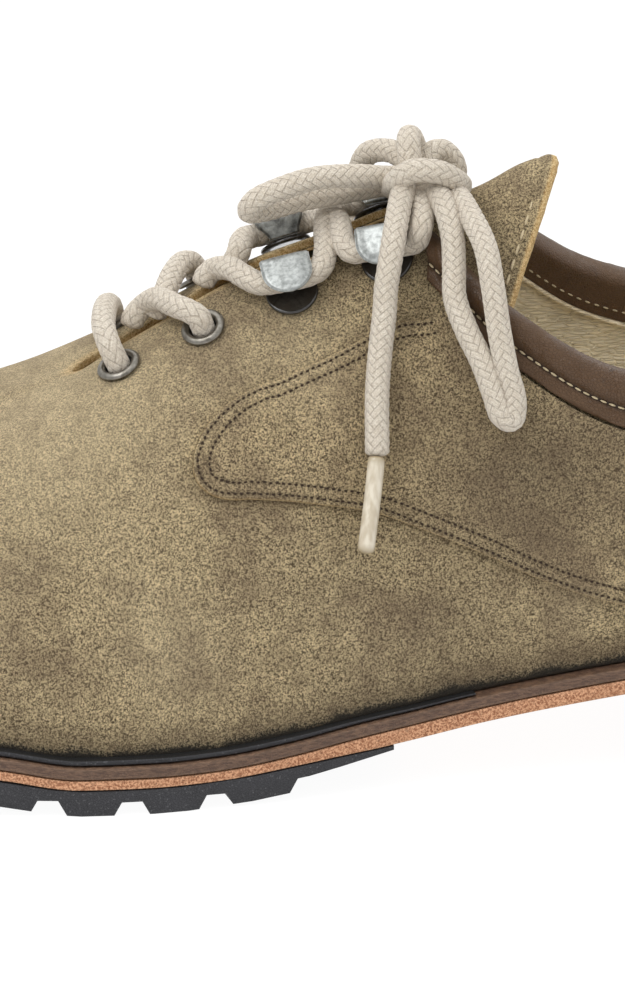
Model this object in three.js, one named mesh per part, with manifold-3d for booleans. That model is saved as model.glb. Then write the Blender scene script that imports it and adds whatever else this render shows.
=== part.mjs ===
// Haferl shoe for the left foot, a low laced shoe with a leather and rubber sole.
// Millimetres. The toe points to -X, the outer side to -Y, up is +Z and the floor is Z = 0.
import * as THREE from "three";
import { mergeVertices } from "three/addons/utils/BufferGeometryUtils.js";
import Module from "manifold-3d";

const wasm = await Module();
wasm.setup();

// Driving sizes of the last
const LENGTH = 303; // sole, heel to toe
const BALL_WIDTH = 107; // sole edge across the ball
const INSTEP_HEIGHT = 100; // floor to the top of the facings
const HEEL_HEIGHT = 24; // floor to the midsole at the back
const TOE_SPRING = 10; // rise of the sole at the toe

// Driving sizes of the materials
const GAP = 0.3; // clearance between pieces that meet
const WALL = 2.4; // upper leather with its lining
const QUARTER = 1.3; // quarter leather on the upper
const TONGUE = 2.6;
const BINDING = 1.2; // folded collar leather
const BINDING_PUFF = 1.5; // padding under the folded edge
const BINDING_GAP = 0.55; // clearance between the binding and the upper
const BINDING_DEPTH = 9; // how far the binding reaches down
const OUTSOLE = 5; // forefoot rubber with its lugs
const LUG = 2.5; // height of a lug
const TAIL = 2.2; // rubber behind the last lug
const TAIL_END = 0.7;
const MIDSOLE = 1.7; // midsole leather under the ball
const MIDSOLE_WAIST = 2.7;
const WELT = 2.4;
const WELT_WIDTH = 14;
const LEDGE = 3.8; // welt that shows outside the upper
const LEDGE_HEEL = 2.8;
const RAND = 0.9;
const RAND_INSET = 1; // rand edge, inside the welt edge
const INSOLE = 2.8;
const INSOLE_EASE = 1; // between the insole's edge and the wall
const TOP_PIECE = 7; // lugged rubber under the heel
const LACE = 4.5; // lace diameter

// Sole edge. Each row is a rib of the last, from the heel to the toe:
// place along LENGTH, then the half widths as shares of BALL_WIDTH.
const SOLE_EDGE = [
  { s: 0, lateral: 0, medial: 0 },
  { s: 0.03, lateral: 0.2, medial: 0.2 },
  { s: 0.085, lateral: 0.285, medial: 0.285 },
  { s: 0.16, lateral: 0.318, medial: 0.322 },
  { s: 0.26, lateral: 0.322, medial: 0.322 },
  { s: 0.36, lateral: 0.33, medial: 0.28 },
  { s: 0.44, lateral: 0.36, medial: 0.262 },
  { s: 0.51, lateral: 0.412, medial: 0.305 },
  { s: 0.58, lateral: 0.468, medial: 0.395 },
  { s: 0.66, lateral: 0.503, medial: 0.478 },
  { s: 0.74, lateral: 0.492, medial: 0.512 },
  { s: 0.82, lateral: 0.436, medial: 0.492 },
  { s: 0.89, lateral: 0.345, medial: 0.425 },
  { s: 0.95, lateral: 0.225, medial: 0.31 },
  { s: 0.985, lateral: 0.1, medial: 0.175 },
  { s: 1, lateral: -0.035, medial: 0.035 },
];

// Underside of the midsole along LENGTH: share of the heel's lift and share of TOE_SPRING
const SOLE_RISE = [
  { s: 0, heel: 1, toe: 0 },
  { s: 0.1, heel: 0.95, toe: 0 },
  { s: 0.2, heel: 0.83, toe: 0 },
  { s: 0.27, heel: 0.7, toe: 0 },
  { s: 0.35, heel: 0.52, toe: 0 },
  { s: 0.43, heel: 0.34, toe: 0 },
  { s: 0.49, heel: 0.2, toe: 0 },
  { s: 0.56, heel: 0.085, toe: 0 },
  { s: 0.6, heel: 0.02, toe: 0 },
  { s: 0.64, heel: 0, toe: 0 },
  { s: 0.685, heel: 0, toe: 0 },
  { s: 0.73, heel: 0, toe: 0.18 },
  { s: 0.8, heel: 0, toe: 0.4 },
  { s: 0.87, heel: 0, toe: 0.62 },
  { s: 0.94, heel: 0, toe: 0.83 },
  { s: 1, heel: 0, toe: 1 },
];

// Each rib of the upper is a curve from the sole to the top edge. Its row gives the top edge's
// place (s of LENGTH, y of BALL_WIDTH, z of INSTEP_HEIGHT), how far the wall rises and swells
// out of the sole (up, out), and the pull of the surface below the top edge (ds, dy, dz).
const LATERAL_RIBS = [
  { s: 0.033, y: 0, z: 0.88, up: 0.24, out: 0.033, ds: -0.013, dy: 0, dz: -0.22 },
  { s: 0.048, y: -0.112, z: 0.87, up: 0.23, out: 0.033, ds: -0.008, dy: -0.033, dz: -0.2 },
  { s: 0.089, y: -0.192, z: 0.805, up: 0.22, out: 0.028, ds: 0, dy: -0.047, dz: -0.18 },
  { s: 0.155, y: -0.234, z: 0.75, up: 0.2, out: 0.023, ds: 0, dy: -0.047, dz: -0.16 },
  { s: 0.257, y: -0.262, z: 0.718, up: 0.18, out: 0.019, ds: 0, dy: -0.047, dz: -0.15 },
  { s: 0.35, y: -0.262, z: 0.745, up: 0.2, out: 0.028, ds: 0, dy: -0.056, dz: -0.18 },
  { s: 0.419, y: -0.22, z: 0.862, up: 0.24, out: 0.034, ds: 0, dy: -0.085, dz: -0.18 },
  { s: 0.472, y: -0.075, z: 0.985, up: 0.27, out: 0.034, ds: 0.006, dy: -0.15, dz: -0.17 },
  { s: 0.521, y: -0.051, z: 0.935, up: 0.28, out: 0.034, ds: 0.01, dy: -0.187, dz: -0.14 },
  { s: 0.581, y: -0.047, z: 0.883, up: 0.28, out: 0.03, ds: 0.016, dy: -0.206, dz: -0.13 },
  { s: 0.627, y: -0.047, z: 0.805, up: 0.25, out: 0.03, ds: 0.03, dy: -0.224, dz: -0.11 },
  { s: 0.657, y: -0.05, z: 0.753, up: 0.25, out: 0.03, ds: 0.053, dy: -0.243, dz: -0.12 },
  { s: 0.673, y: -0.056, z: 0.723, up: 0.26, out: 0.026, ds: 0.079, dy: -0.206, dz: -0.14 },
  { s: 0.679, y: -0.051, z: 0.713, up: 0.27, out: 0.022, ds: 0.106, dy: -0.112, dz: -0.165 },
  { s: 0.681, y: -0.043, z: 0.71, up: 0.28, out: 0.02, ds: 0.132, dy: -0.03, dz: -0.18 },
  { s: 0.6815, y: -0.035, z: 0.71, up: 0.28, out: 0.02, ds: 0.145, dy: 0.02, dz: -0.16 },
];
const MEDIAL_RIBS = [
  LATERAL_RIBS[0],
  { s: 0.048, y: 0.112, z: 0.872, up: 0.23, out: 0.033, ds: -0.008, dy: 0.033, dz: -0.2 },
  { s: 0.089, y: 0.192, z: 0.812, up: 0.22, out: 0.028, ds: 0, dy: 0.047, dz: -0.18 },
  { s: 0.155, y: 0.234, z: 0.765, up: 0.2, out: 0.023, ds: 0, dy: 0.047, dz: -0.16 },
  { s: 0.257, y: 0.262, z: 0.745, up: 0.18, out: 0.028, ds: 0, dy: 0.047, dz: -0.16 },
  { s: 0.35, y: 0.252, z: 0.805, up: 0.2, out: 0.055, ds: 0, dy: 0.056, dz: -0.2 },
  { s: 0.419, y: 0.192, z: 0.938, up: 0.22, out: 0.065, ds: 0, dy: 0.085, dz: -0.2 },
  { s: 0.472, y: 0.056, z: 0.995, up: 0.24, out: 0.06, ds: 0.006, dy: 0.15, dz: -0.1 },
  { s: 0.521, y: 0.024, z: 0.952, up: 0.24, out: 0.045, ds: 0.01, dy: 0.19, dz: -0.05 },
  { s: 0.579, y: -0.002, z: 0.891, up: 0.25, out: 0.034, ds: 0.016, dy: 0.22, dz: -0.03 },
  { s: 0.625, y: -0.012, z: 0.809, up: 0.24, out: 0.03, ds: 0.03, dy: 0.245, dz: -0.03 },
  { s: 0.655, y: -0.014, z: 0.757, up: 0.24, out: 0.03, ds: 0.053, dy: 0.26, dz: -0.05 },
  { s: 0.672, y: -0.015, z: 0.726, up: 0.25, out: 0.026, ds: 0.085, dy: 0.22, dz: -0.07 },
  { s: 0.678, y: -0.019, z: 0.714, up: 0.27, out: 0.022, ds: 0.112, dy: 0.16, dz: -0.1 },
  { s: 0.6805, y: -0.026, z: 0.711, up: 0.28, out: 0.02, ds: 0.135, dy: 0.09, dz: -0.13 },
  LATERAL_RIBS[15],
];
const HALF = SOLE_EDGE.length - 1; // rib number at the toe
const RIBS = 2 * HALF; // ribs once round, the inner side counting back to the heel

// A smooth value through equally numbered rows, at a row number that may lie between two
function along(rows, at, column, closed = true) {
  const n = rows.length;
  const i = Math.floor(at);
  const t = at - i;
  const pick = (k) => rows[closed ? (k + 2 * n) % n : Math.min(Math.max(k, 0), n - 1)][column];
  const [a, b, c, d] = [pick(i - 1), pick(i), pick(i + 1), pick(i + 2)];
  return b + 0.5 * t * (c - a + t * (2 * a - 5 * b + 4 * c - d + t * (3 * (b - c) + d - a)));
}

// A smooth value that never swings past its rows, at a place along the column s
function through(rows, s, column) {
  const last = rows.length - 1;
  const i = Math.min(Math.max(rows.findIndex((row) => row.s > s) - 1, 0), last - 1);
  const k = s >= rows[last].s ? last - 1 : i;
  const step = (j) => rows[j + 1].s - rows[j].s;
  const slope = (j) => (rows[j + 1][column] - rows[j][column]) / step(j);
  const tangent = (j) => {
    if (j === 0) return slope(0);
    if (j === last) return slope(last - 1);
    const [a, b] = [slope(j - 1), slope(j)];
    return a * b <= 0 ? 0 : (2 * a * b) / (a + b);
  };
  const t = Math.min(Math.max((s - rows[k].s) / step(k), 0), 1);
  const [p, q] = [rows[k][column], rows[k + 1][column]];
  const [u, w] = [tangent(k) * step(k), tangent(k + 1) * step(k)];
  return p + t * (u + t * (3 * (q - p) - 2 * u - w + t * (2 * (p - q) + u + w)));
}

const bothSides = (lateral, medial) => [...lateral, ...medial.slice(1, -1).reverse()];
const EDGE_LOOP = bothSides(
  SOLE_EDGE.map((row) => ({ s: row.s * LENGTH, y: -row.lateral * BALL_WIDTH })),
  SOLE_EDGE.map((row) => ({ s: row.s * LENGTH, y: row.medial * BALL_WIDTH })),
);
const RIB_LOOP = bothSides(LATERAL_RIBS, MEDIAL_RIBS);

// The sole edge at rib number g, moved in by an inset
function edge(g, inset = 0) {
  const step = 0.02;
  const at = (k) => [along(EDGE_LOOP, k, "s"), along(EDGE_LOOP, k, "y")];
  const [s, y] = at(g);
  const [ahead, behind] = [at(g + step), at(g - step)];
  const [ds, dy] = [ahead[0] - behind[0], ahead[1] - behind[1]];
  const size = Math.hypot(ds, dy);
  return { s: s - (dy / size) * inset, y: y + (ds / size) * inset };
}

const ROUND = Array.from({ length: 20 * RIBS }, (_, i) => edge(i / 20));
const span = (column) => {
  const values = ROUND.map((point) => point[column]);
  return [Math.min(...values), Math.max(...values)];
};
const MIDDLE_S = (span("s")[0] + span("s")[1]) / 2;
const MIDDLE_Y = (span("y")[0] + span("y")[1]) / 2;
const place = (s, y, z) => new THREE.Vector3(MIDDLE_S - s, y - MIDDLE_Y, z);

// Heights of the sole's layers at s
function seat(s) {
  const share = s / LENGTH;
  const lift = (HEEL_HEIGHT - OUTSOLE) * through(SOLE_RISE, share, "heel");
  return OUTSOLE + lift + TOE_SPRING * through(SOLE_RISE, share, "toe");
}
const MIDSOLE_ROWS = [
  { s: 0, thick: MIDSOLE_WAIST },
  { s: 0.49, thick: MIDSOLE_WAIST },
  { s: 0.57, thick: MIDSOLE },
  { s: 1, thick: MIDSOLE },
];
const midsoleTop = (s) => seat(s) + through(MIDSOLE_ROWS, s / LENGTH, "thick");
const weltTop = (s) => midsoleTop(s) + WELT;
const ledge = (g) => LEDGE + (LEDGE_HEEL - LEDGE) * Math.cos((Math.PI * g) / RIBS) ** 4;

// The outer skin of the upper: rib number g round the shoe, v from 0 at the sole to 1 at the
// top edge, and lift off the skin along its normal
function bare(g, v) {
  const row = (column) => along(RIB_LOOP, g, column);
  const foot = edge(g, ledge(g));
  const z = weltTop(foot.s) + GAP;
  const swell = edge(g, ledge(g) - row("out") * BALL_WIDTH);
  const top = [row("s") * LENGTH, row("y") * BALL_WIDTH, row("z") * INSTEP_HEIGHT];
  const pull = [row("ds") * LENGTH, row("dy") * BALL_WIDTH, row("dz") * INSTEP_HEIGHT];
  const a = place(foot.s, foot.y, z);
  const b = place(swell.s, swell.y, z + row("up") * INSTEP_HEIGHT);
  const c = place(top[0] + pull[0], top[1] + pull[1], top[2] + pull[2]);
  const d = place(...top);
  const w = 1 - v;
  return a
    .multiplyScalar(w * w * w)
    .addScaledVector(b, 3 * w * w * v)
    .addScaledVector(c, 3 * w * v * v)
    .addScaledVector(d, v * v * v);
}
function outward(g, v) {
  const step = 0.01;
  const round = bare(g + step, v).sub(bare(g - step, v));
  const up = bare(g, v + step).sub(bare(g, v - step));
  return up.cross(round).normalize();
}
const skin = (g, v, lift = 0) => bare(g, v).addScaledVector(outward(g, v), lift);

// A closed solid from points and triangles, turned so that its faces point out
function solid(points, triangles) {
  const geometry = new THREE.BufferGeometry();
  const numbers = points.flatMap((p) => p.toArray());
  geometry.setAttribute("position", new THREE.Float32BufferAttribute(numbers, 3));
  geometry.setIndex(triangles.flat());
  return solidOf(geometry);
}
function solidOf(geometry) {
  const bareGeometry = geometry.clone();
  for (const name of ["normal", "uv"]) bareGeometry.deleteAttribute(name);
  const merged = mergeVertices(bareGeometry, 1e-4);
  const at = merged.getAttribute("position").array;
  const index = Array.from(merged.getIndex().array);
  const kept = [];
  let volume = 0;
  for (let i = 0; i < index.length; i += 3) {
    const [a, b, c] = index.slice(i, i + 3);
    if (a === b || b === c || a === c) continue;
    kept.push([a, b, c]);
    const [p, q, r] = [a, b, c].map((k) => new THREE.Vector3().fromArray(at, 3 * k));
    volume += p.dot(q.cross(r));
  }
  const faces = volume < 0 ? kept.map(([a, b, c]) => [a, c, b]) : kept;
  const triVerts = Uint32Array.from(faces.flat());
  const vertProperties = Float32Array.from(at);
  return new wasm.Manifold(new wasm.Mesh({ numProp: 3, vertProperties, triVerts }));
}

// A solid through sections of equally many points. The first half of a section faces the second
// half, point by point from its two ends, so that an end can be closed.
function loft(sections, closed = false) {
  const count = sections[0].length;
  const points = sections.flat();
  const triangles = [];
  const quad = (a, b, c, d) => triangles.push([a, b, c], [a, c, d]);
  const rings = closed ? sections.length : sections.length - 1;
  for (let i = 0; i < rings; i += 1) {
    const [here, next] = [i * count, ((i + 1) % sections.length) * count];
    for (let j = 0; j < count; j += 1) {
      const k = (j + 1) % count;
      quad(here + j, here + k, next + k, next + j);
    }
  }
  if (!closed) {
    const last = (sections.length - 1) * count;
    for (let j = 0; j < count / 2 - 1; j += 1) {
      const k = count - 1 - j;
      quad(j, k, k - 1, j + 1);
      quad(last + j, last + j + 1, last + k - 1, last + k);
    }
  }
  return solid(points, triangles);
}

const range = (from, to, steps) => {
  const step = (to - from) / steps;
  return Array.from({ length: steps + 1 }, (_, i) => from + step * i);
};

// A flat layer of the sole between two heights, with the sole edge moved in by an inset
function layer({ inset, bottom, top, from = -Infinity, to = Infinity, extra = [] }) {
  const rim = (g) => edge(g, typeof inset === "function" ? inset(g) : inset);
  const sideAt = (s, side) => {
    let [low, high] = [0, HALF];
    for (let i = 0; i < 40; i += 1) {
      const middle = (low + high) / 2;
      if (rim(side * middle).s < s) low = middle;
      else high = middle;
    }
    return rim(side * low).y;
  };
  const ends = [Math.max(rim(0).s, from), Math.min(rim(HALF).s, to)];
  const stations = [...range(0, HALF, 2 * HALF).map((g) => rim(g).s), ...extra]
    .filter((s) => s > ends[0] + 0.5 && s < ends[1] - 0.5)
    .sort((a, b) => a - b);
  const sections = [ends[0], ...stations, ends[1]].map((s) => {
    const [lateral, medial] = [sideAt(s, 1), sideAt(s, -1)];
    return [
      place(s, lateral, bottom(s)),
      place(s, lateral, top(s)),
      place(s, medial, top(s)),
      place(s, medial, bottom(s)),
    ];
  });
  return loft(sections.map(([a, b, c, d]) => [b, a, d, c]));
}

// A band that follows the sole edge between two insets
function band({ outer, inner, bottom, top, ribs, closed = false }) {
  const corner = (g, inset, z) => {
    const point = edge(g, typeof inset === "function" ? inset(g) : inset);
    return place(point.s, point.y, z(point.s));
  };
  const section = (g) => [
    corner(g, outer, bottom),
    corner(g, outer, top),
    corner(g, inner, top),
    corner(g, inner, bottom),
  ];
  return loft(ribs.map(section), closed);
}

const ROUND_STEPS = 2.5; // sections from one rib to the next
const roundTheShoe = range(0, RIBS, ROUND_STEPS * RIBS).slice(0, -1);

// Sole
const BREAST = 0.257 * LENGTH; // front of the heel
const LUG_BACK = 0.557 * LENGTH; // back of the last forefoot lug
const TAIL_BACK = 0.492 * LENGTH; // back end of the forefoot rubber
const LUG_STEP = 1.5; // slope behind the last lug
const TAIL_TAPER = 0.75; // share of the tail that thins out
const FLAT = [0.64 * LENGTH, 0.685 * LENGTH];
const EDGE_LUG = 19; // length of an edge groove
const LUG_PITCH = 15.7;
const GROOVE = { open: 6.6, floor: 3.8 }; // widths of an edge groove
const CROSS_GROOVE = { open: 5, floor: 2.8 };
const CHANNEL = 4; // groove inside the edge lugs
const rubberFloor = (s) => seat(s) - OUTSOLE;

function cutter(from, to, { open, floor }, depth, floorAt) {
  const run = to.clone().sub(from).setZ(0).normalize();
  const side = new THREE.Vector3(-run.y, run.x, 0);
  const section = (p, s) => {
    const z = floorAt(s);
    const corner = (w, h) => p.clone().addScaledVector(side, w).setZ(z + h);
    const slope = (open - floor) / 2 / depth;
    const wide = open / 2 + slope;
    return [corner(-wide, -1), corner(-floor / 2, depth), corner(floor / 2, depth), corner(wide, -1)];
  };
  return loft([section(from, MIDDLE_S - from.x), section(to, MIDDLE_S - to.x)]);
}
const flatPoint = (g, inset) => {
  const point = edge(g, inset);
  return place(point.s, point.y, 0);
};
// Rib numbers at even steps along the sole edge, between two ribs
function evenly(from, to, pitch) {
  const found = [from];
  let [run, g, last] = [0, from, flatPoint(from, 0)];
  while (g < to) {
    g += 0.01;
    const here = flatPoint(g, 0);
    run += here.distanceTo(last);
    last = here;
    if (run >= pitch) {
      found.push(g);
      run -= pitch;
    }
  }
  return found;
}
const ribAt = (s, side) => {
  let [low, high] = [0, HALF];
  for (let i = 0; i < 40; i += 1) {
    const middle = (low + high) / 2;
    if (edge(side * middle).s < s) low = middle;
    else high = middle;
  }
  return side * low;
};

function outsole() {
  const taper = (s) => Math.min(1, (s - TAIL_BACK) / (TAIL_TAPER * (LUG_BACK - TAIL_BACK)));
  const tail = (s) => TAIL_END + (TAIL - TAIL_END) * taper(s);
  const bottom = (s) => (s >= LUG_BACK ? rubberFloor(s) : seat(s) - GAP - tail(s));
  let body = layer({
    inset: 0,
    bottom,
    top: (s) => seat(s) - GAP,
    from: TAIL_BACK,
    extra: [LUG_BACK - LUG_STEP, LUG_BACK, ...FLAT, (TAIL_BACK + LUG_BACK) / 2],
  });
  const first = ribAt(LUG_BACK + 0.87 * LUG_PITCH, 1);
  const last = RIBS + ribAt(LUG_BACK + 0.6 * LUG_PITCH, -1);
  for (const g of evenly(first, last, LUG_PITCH)) {
    body = body.subtract(cutter(flatPoint(g, -2), flatPoint(g, EDGE_LUG), GROOVE, LUG, rubberFloor));
  }
  const inner = EDGE_LUG + CHANNEL;
  const ribs = range(ribAt(LUG_BACK - 2, 1), RIBS + ribAt(LUG_BACK - 2, -1), 36);
  const channel = band({
    outer: EDGE_LUG - 0.5,
    inner,
    bottom: (s) => rubberFloor(s) - 1,
    top: (s) => rubberFloor(s) + LUG,
    ribs,
  });
  body = body.subtract(channel);
  const toeEnd = edge(HALF, inner).s;
  for (let s = LUG_BACK + 0.5 * LUG_PITCH; s < toeEnd - 2; s += LUG_PITCH) {
    const [from, to] = [ribAt(s, 1), ribAt(s, -1)].map((g) => flatPoint(g, EDGE_LUG + 1));
    body = body.subtract(cutter(from, to, CROSS_GROOVE, LUG, rubberFloor));
  }
  return body;
}

function heelTopPiece() {
  let body = layer({ inset: 0.4, bottom: () => 0, top: () => TOP_PIECE, to: BREAST });
  const [first, last] = [ribAt(BREAST - 0.7 * LUG_PITCH, -1), ribAt(BREAST - 0.6 * LUG_PITCH, 1)];
  for (const g of evenly(first, last, LUG_PITCH)) {
    body = body.subtract(cutter(flatPoint(g, -2), flatPoint(g, EDGE_LUG - 5), GROOVE, LUG, () => 0));
  }
  return body;
}

function insole() {
  const board = layer({
    inset: (g) => ledge(g) + WALL + INSOLE_EASE,
    bottom: (s) => weltTop(s) + GAP,
    top: (s) => weltTop(s) + GAP + INSOLE,
  });
  const filling = layer({
    inset: WELT_WIDTH + GAP,
    bottom: (s) => midsoleTop(s) + GAP,
    top: (s) => weltTop(s) + GAP + INSOLE / 2,
  });
  return board.add(filling);
}

// Depth below the top edge, measured along a rib, as a value of v
function depthToV(g, depth) {
  const step = 0.004;
  let [v, run, last] = [1, 0, bare(g, 1)];
  if (depth < 0) return 1 - (depth * step) / last.distanceTo(bare(g, 1 - step));
  while (run < depth && v > 0) {
    v -= step;
    const here = bare(g, v);
    run += here.distanceTo(last);
    last = here;
  }
  return v;
}
const below = (g, depth, lift) => skin(g, depthToV(g, depth), lift);

// Upper
const EYELET_HOLE = 2.6; // inner radius of an eyelet
const EYELET_BARREL = 3;
const EYELET_FLANGE = 4.25;
const EYELET_THICK = 0.8;
const ROUND_SIDES = 12;
const FASTENINGS = [
  { name: "1", kind: "eyelet", rib: 10.36, v: 0.89 },
  { name: "2", kind: "eyelet", rib: 9.24, v: 0.88 },
  { name: "1", kind: "hook", rib: 8.36, v: 0.9 },
  { name: "2", kind: "hook", rib: 7.28, v: 0.905 },
];
const SIDES = [
  { name: "lateral", rib: (k) => k },
  { name: "medial", rib: (k) => RIBS - k },
];

// A turned frame on the skin: Z leaves the leather, X runs down from the throat
function onSkin(g, v, lift = 0) {
  const out = outward(g, v);
  const throat = bare(g + 0.1, v).sub(bare(g - 0.1, v)).normalize();
  const down = throat.cross(out).normalize();
  if (down.dot(bare(g, v + 0.01).sub(bare(g, v))) > 0) down.negate();
  return new THREE.Matrix4().makeBasis(down, out.clone().cross(down), out).setPosition(skin(g, v, lift));
}
const turned = (profile, sides = ROUND_SIDES) =>
  new THREE.LatheGeometry(
    [...profile, profile[0]].map(([r, h]) => new THREE.Vector2(r, h)),
    sides,
  ).rotateX(Math.PI / 2);

function upper() {
  const vSteps = [0, 0.2, 0.4, 0.6, 0.75, 0.87, 0.94, 1];
  const section = (g) => [
    ...vSteps.map((v) => skin(g, v)),
    ...vSteps.toReversed().map((v) => skin(g, v, -WALL)),
  ];
  let body = loft(roundTheShoe.map(section), true);
  for (const { kind, rib, v } of FASTENINGS) {
    if (kind !== "eyelet") continue;
    for (const side of SIDES) {
      const radius = EYELET_BARREL + GAP;
      const hole = new THREE.CylinderGeometry(radius, radius, 4 * WALL, ROUND_SIDES);
      hole.rotateX(Math.PI / 2).applyMatrix4(onSkin(side.rib(rib), v));
      body = body.subtract(solidOf(hole));
    }
  }
  return body;
}

// Quarter: the outer leather from the heel seam to a rounded nose under the facings.
// For each rib, the v of its lower and of its upper edge.
const QUARTER_SEAM = [
  { s: 0, low: 0, high: 1 },
  { s: 3.9, low: 0, high: 1 },
  { s: 4.3, low: 0.08, high: 1 },
  { s: 4.9, low: 0.21, high: 1 },
  { s: 5.6, low: 0.315, high: 1 },
  { s: 6.2, low: 0.375, high: 1 },
  { s: 6.8, low: 0.4, high: 0.79 },
  { s: 7.44, low: 0.435, high: 0.74 },
  { s: 8, low: 0.47, high: 0.72 },
  { s: 8.35, low: 0.485, high: 0.7 },
];
const NOSE = { start: 8.35, length: 0.57 };
const HEEL_SEAM = 0.02; // half the seam at the heel, in ribs
const BINDING_FRONT = 6.8; // rib at the binding's front end
const bindingV = (g) => depthToV(g, BINDING_DEPTH + 2 * GAP);

function quarterEdges(k) {
  const start = NOSE.start;
  const at = Math.min(k, start);
  let [low, high] = [through(QUARTER_SEAM, at, "low"), through(QUARTER_SEAM, at, "high")];
  if (k > start) {
    const half = ((high - low) / 2) * Math.sqrt(Math.max(0.004, 1 - ((k - start) / NOSE.length) ** 2));
    const middle = (high + low) / 2;
    [low, high] = [middle - half, middle + half];
  }
  return [low, high];
}

function quarter(side) {
  const nose = [0, 0.35, 0.65, 0.85, 0.96, 1].map((share) => NOSE.start + share * NOSE.length);
  const ribs = [HEEL_SEAM, ...range(1, 20, 19).map((i) => i / ROUND_STEPS), ...nose];
  const section = (k) => {
    const g = side.rib(k);
    const [low, high] = quarterEdges(k);
    const vs = range(low, Math.min(high, bindingV(g)), 5);
    return [
      ...vs.map((v) => skin(g, v, GAP + QUARTER)),
      ...vs.toReversed().map((v) => skin(g, v, GAP)),
    ];
  };
  return loft(ribs.map(section));
}

// Collar binding, folded over the top edge from one facing round the heel to the other
function binding() {
  const inside = -WALL - BINDING_GAP;
  const outer = [
    [BINDING_DEPTH, BINDING_GAP + BINDING],
    [0.6 * BINDING_DEPTH, BINDING_GAP + BINDING],
    [0.4 * BINDING_DEPTH, BINDING_GAP + BINDING + BINDING_PUFF],
    [-0.4, BINDING_GAP + BINDING + 0.6 * BINDING_PUFF],
    [-BINDING_GAP - BINDING, -WALL / 2],
    [-0.6, inside - BINDING],
    [0.9 * BINDING_DEPTH, inside - BINDING],
  ];
  const inner = [
    [BINDING_DEPTH, BINDING_GAP],
    [0.6 * BINDING_DEPTH, BINDING_GAP],
    [0.4 * BINDING_DEPTH, BINDING_GAP],
    [-BINDING_GAP, BINDING_GAP],
    [-BINDING_GAP, -WALL / 2],
    [-BINDING_GAP, inside],
    [0.9 * BINDING_DEPTH, inside],
  ];
  const ribs = range(-BINDING_FRONT, BINDING_FRONT, 2 * 17).map((k) => (k + RIBS) % RIBS);
  const profile = [...outer, ...inner.toReversed()];
  return loft(ribs.map((g) => profile.map(([depth, lift]) => below(g, depth, lift))));
}

// Tongue: a saddle below the facings. Each row is a rib pair: the centre's place along LENGTH and
// share of INSTEP_HEIGHT, the v that its sides reach, and its depth under the skin.
const TONGUE_ROWS = [
  { s: 6.05, at: 0.39, z: 1.08, reach: 0.93, clear: 5.2 },
  { s: 6.5, at: 0.437, z: 1.028, reach: 0.86, clear: 5.2 },
  { s: 7, at: 0.474, z: 0.99, reach: 0.82, clear: 5.1 },
  { s: 7.5, at: 0.5, z: 0.955, reach: 0.8, clear: 3.3 },
  { s: 8, at: 0.521, z: 0.918, reach: 0.8, clear: 3.3 },
  { s: 9, at: 0.58, z: 0.858, reach: 0.8, clear: 3.3 },
  { s: 10, at: 0.626, z: 0.776, reach: 0.82, clear: 3.3 },
  { s: 11, at: 0.656, z: 0.725, reach: 0.86, clear: 3.3 },
  { s: 12, at: 0.672, z: 0.693, reach: 0.93, clear: 3.3 },
];
function tongue() {
  const rows = range(6.05, 11.9, 10).map((k) => {
    const row = (column) => through(TONGUE_ROWS, k, column);
    const side = (g) => range(row("reach"), 1, 2).map((v) => skin(g, v, -row("clear")));
    const centre = place(row("at") * LENGTH, 0, row("z") * INSTEP_HEIGHT);
    const [lateral, medial] = [side(k), side(RIBS - k)];
    centre.y = (lateral[2].y + medial[2].y) / 2;
    const curve = new THREE.CatmullRomCurve3([...lateral, centre, ...medial.toReversed()]);
    return range(0, 1, 8).map((t) => curve.getPoint(t));
  });
  const clampRow = (i) => rows[Math.min(Math.max(i, 0), rows.length - 1)];
  const sections = rows.map((row, i) => {
    const under = row.map((p, j) => {
      const forward = clampRow(i + 1)[j].clone().sub(clampRow(i - 1)[j]);
      const across = row[Math.min(j + 1, row.length - 1)].clone().sub(row[Math.max(j - 1, 0)]);
      return p.clone().addScaledVector(across.cross(forward).normalize(), TONGUE);
    });
    const flip = under[4].z > row[4].z;
    const inner = flip ? row.map((p, j) => p.clone().multiplyScalar(2).sub(under[j])) : under;
    return [...row, ...inner.toReversed()];
  });
  return loft(sections);
}

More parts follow.
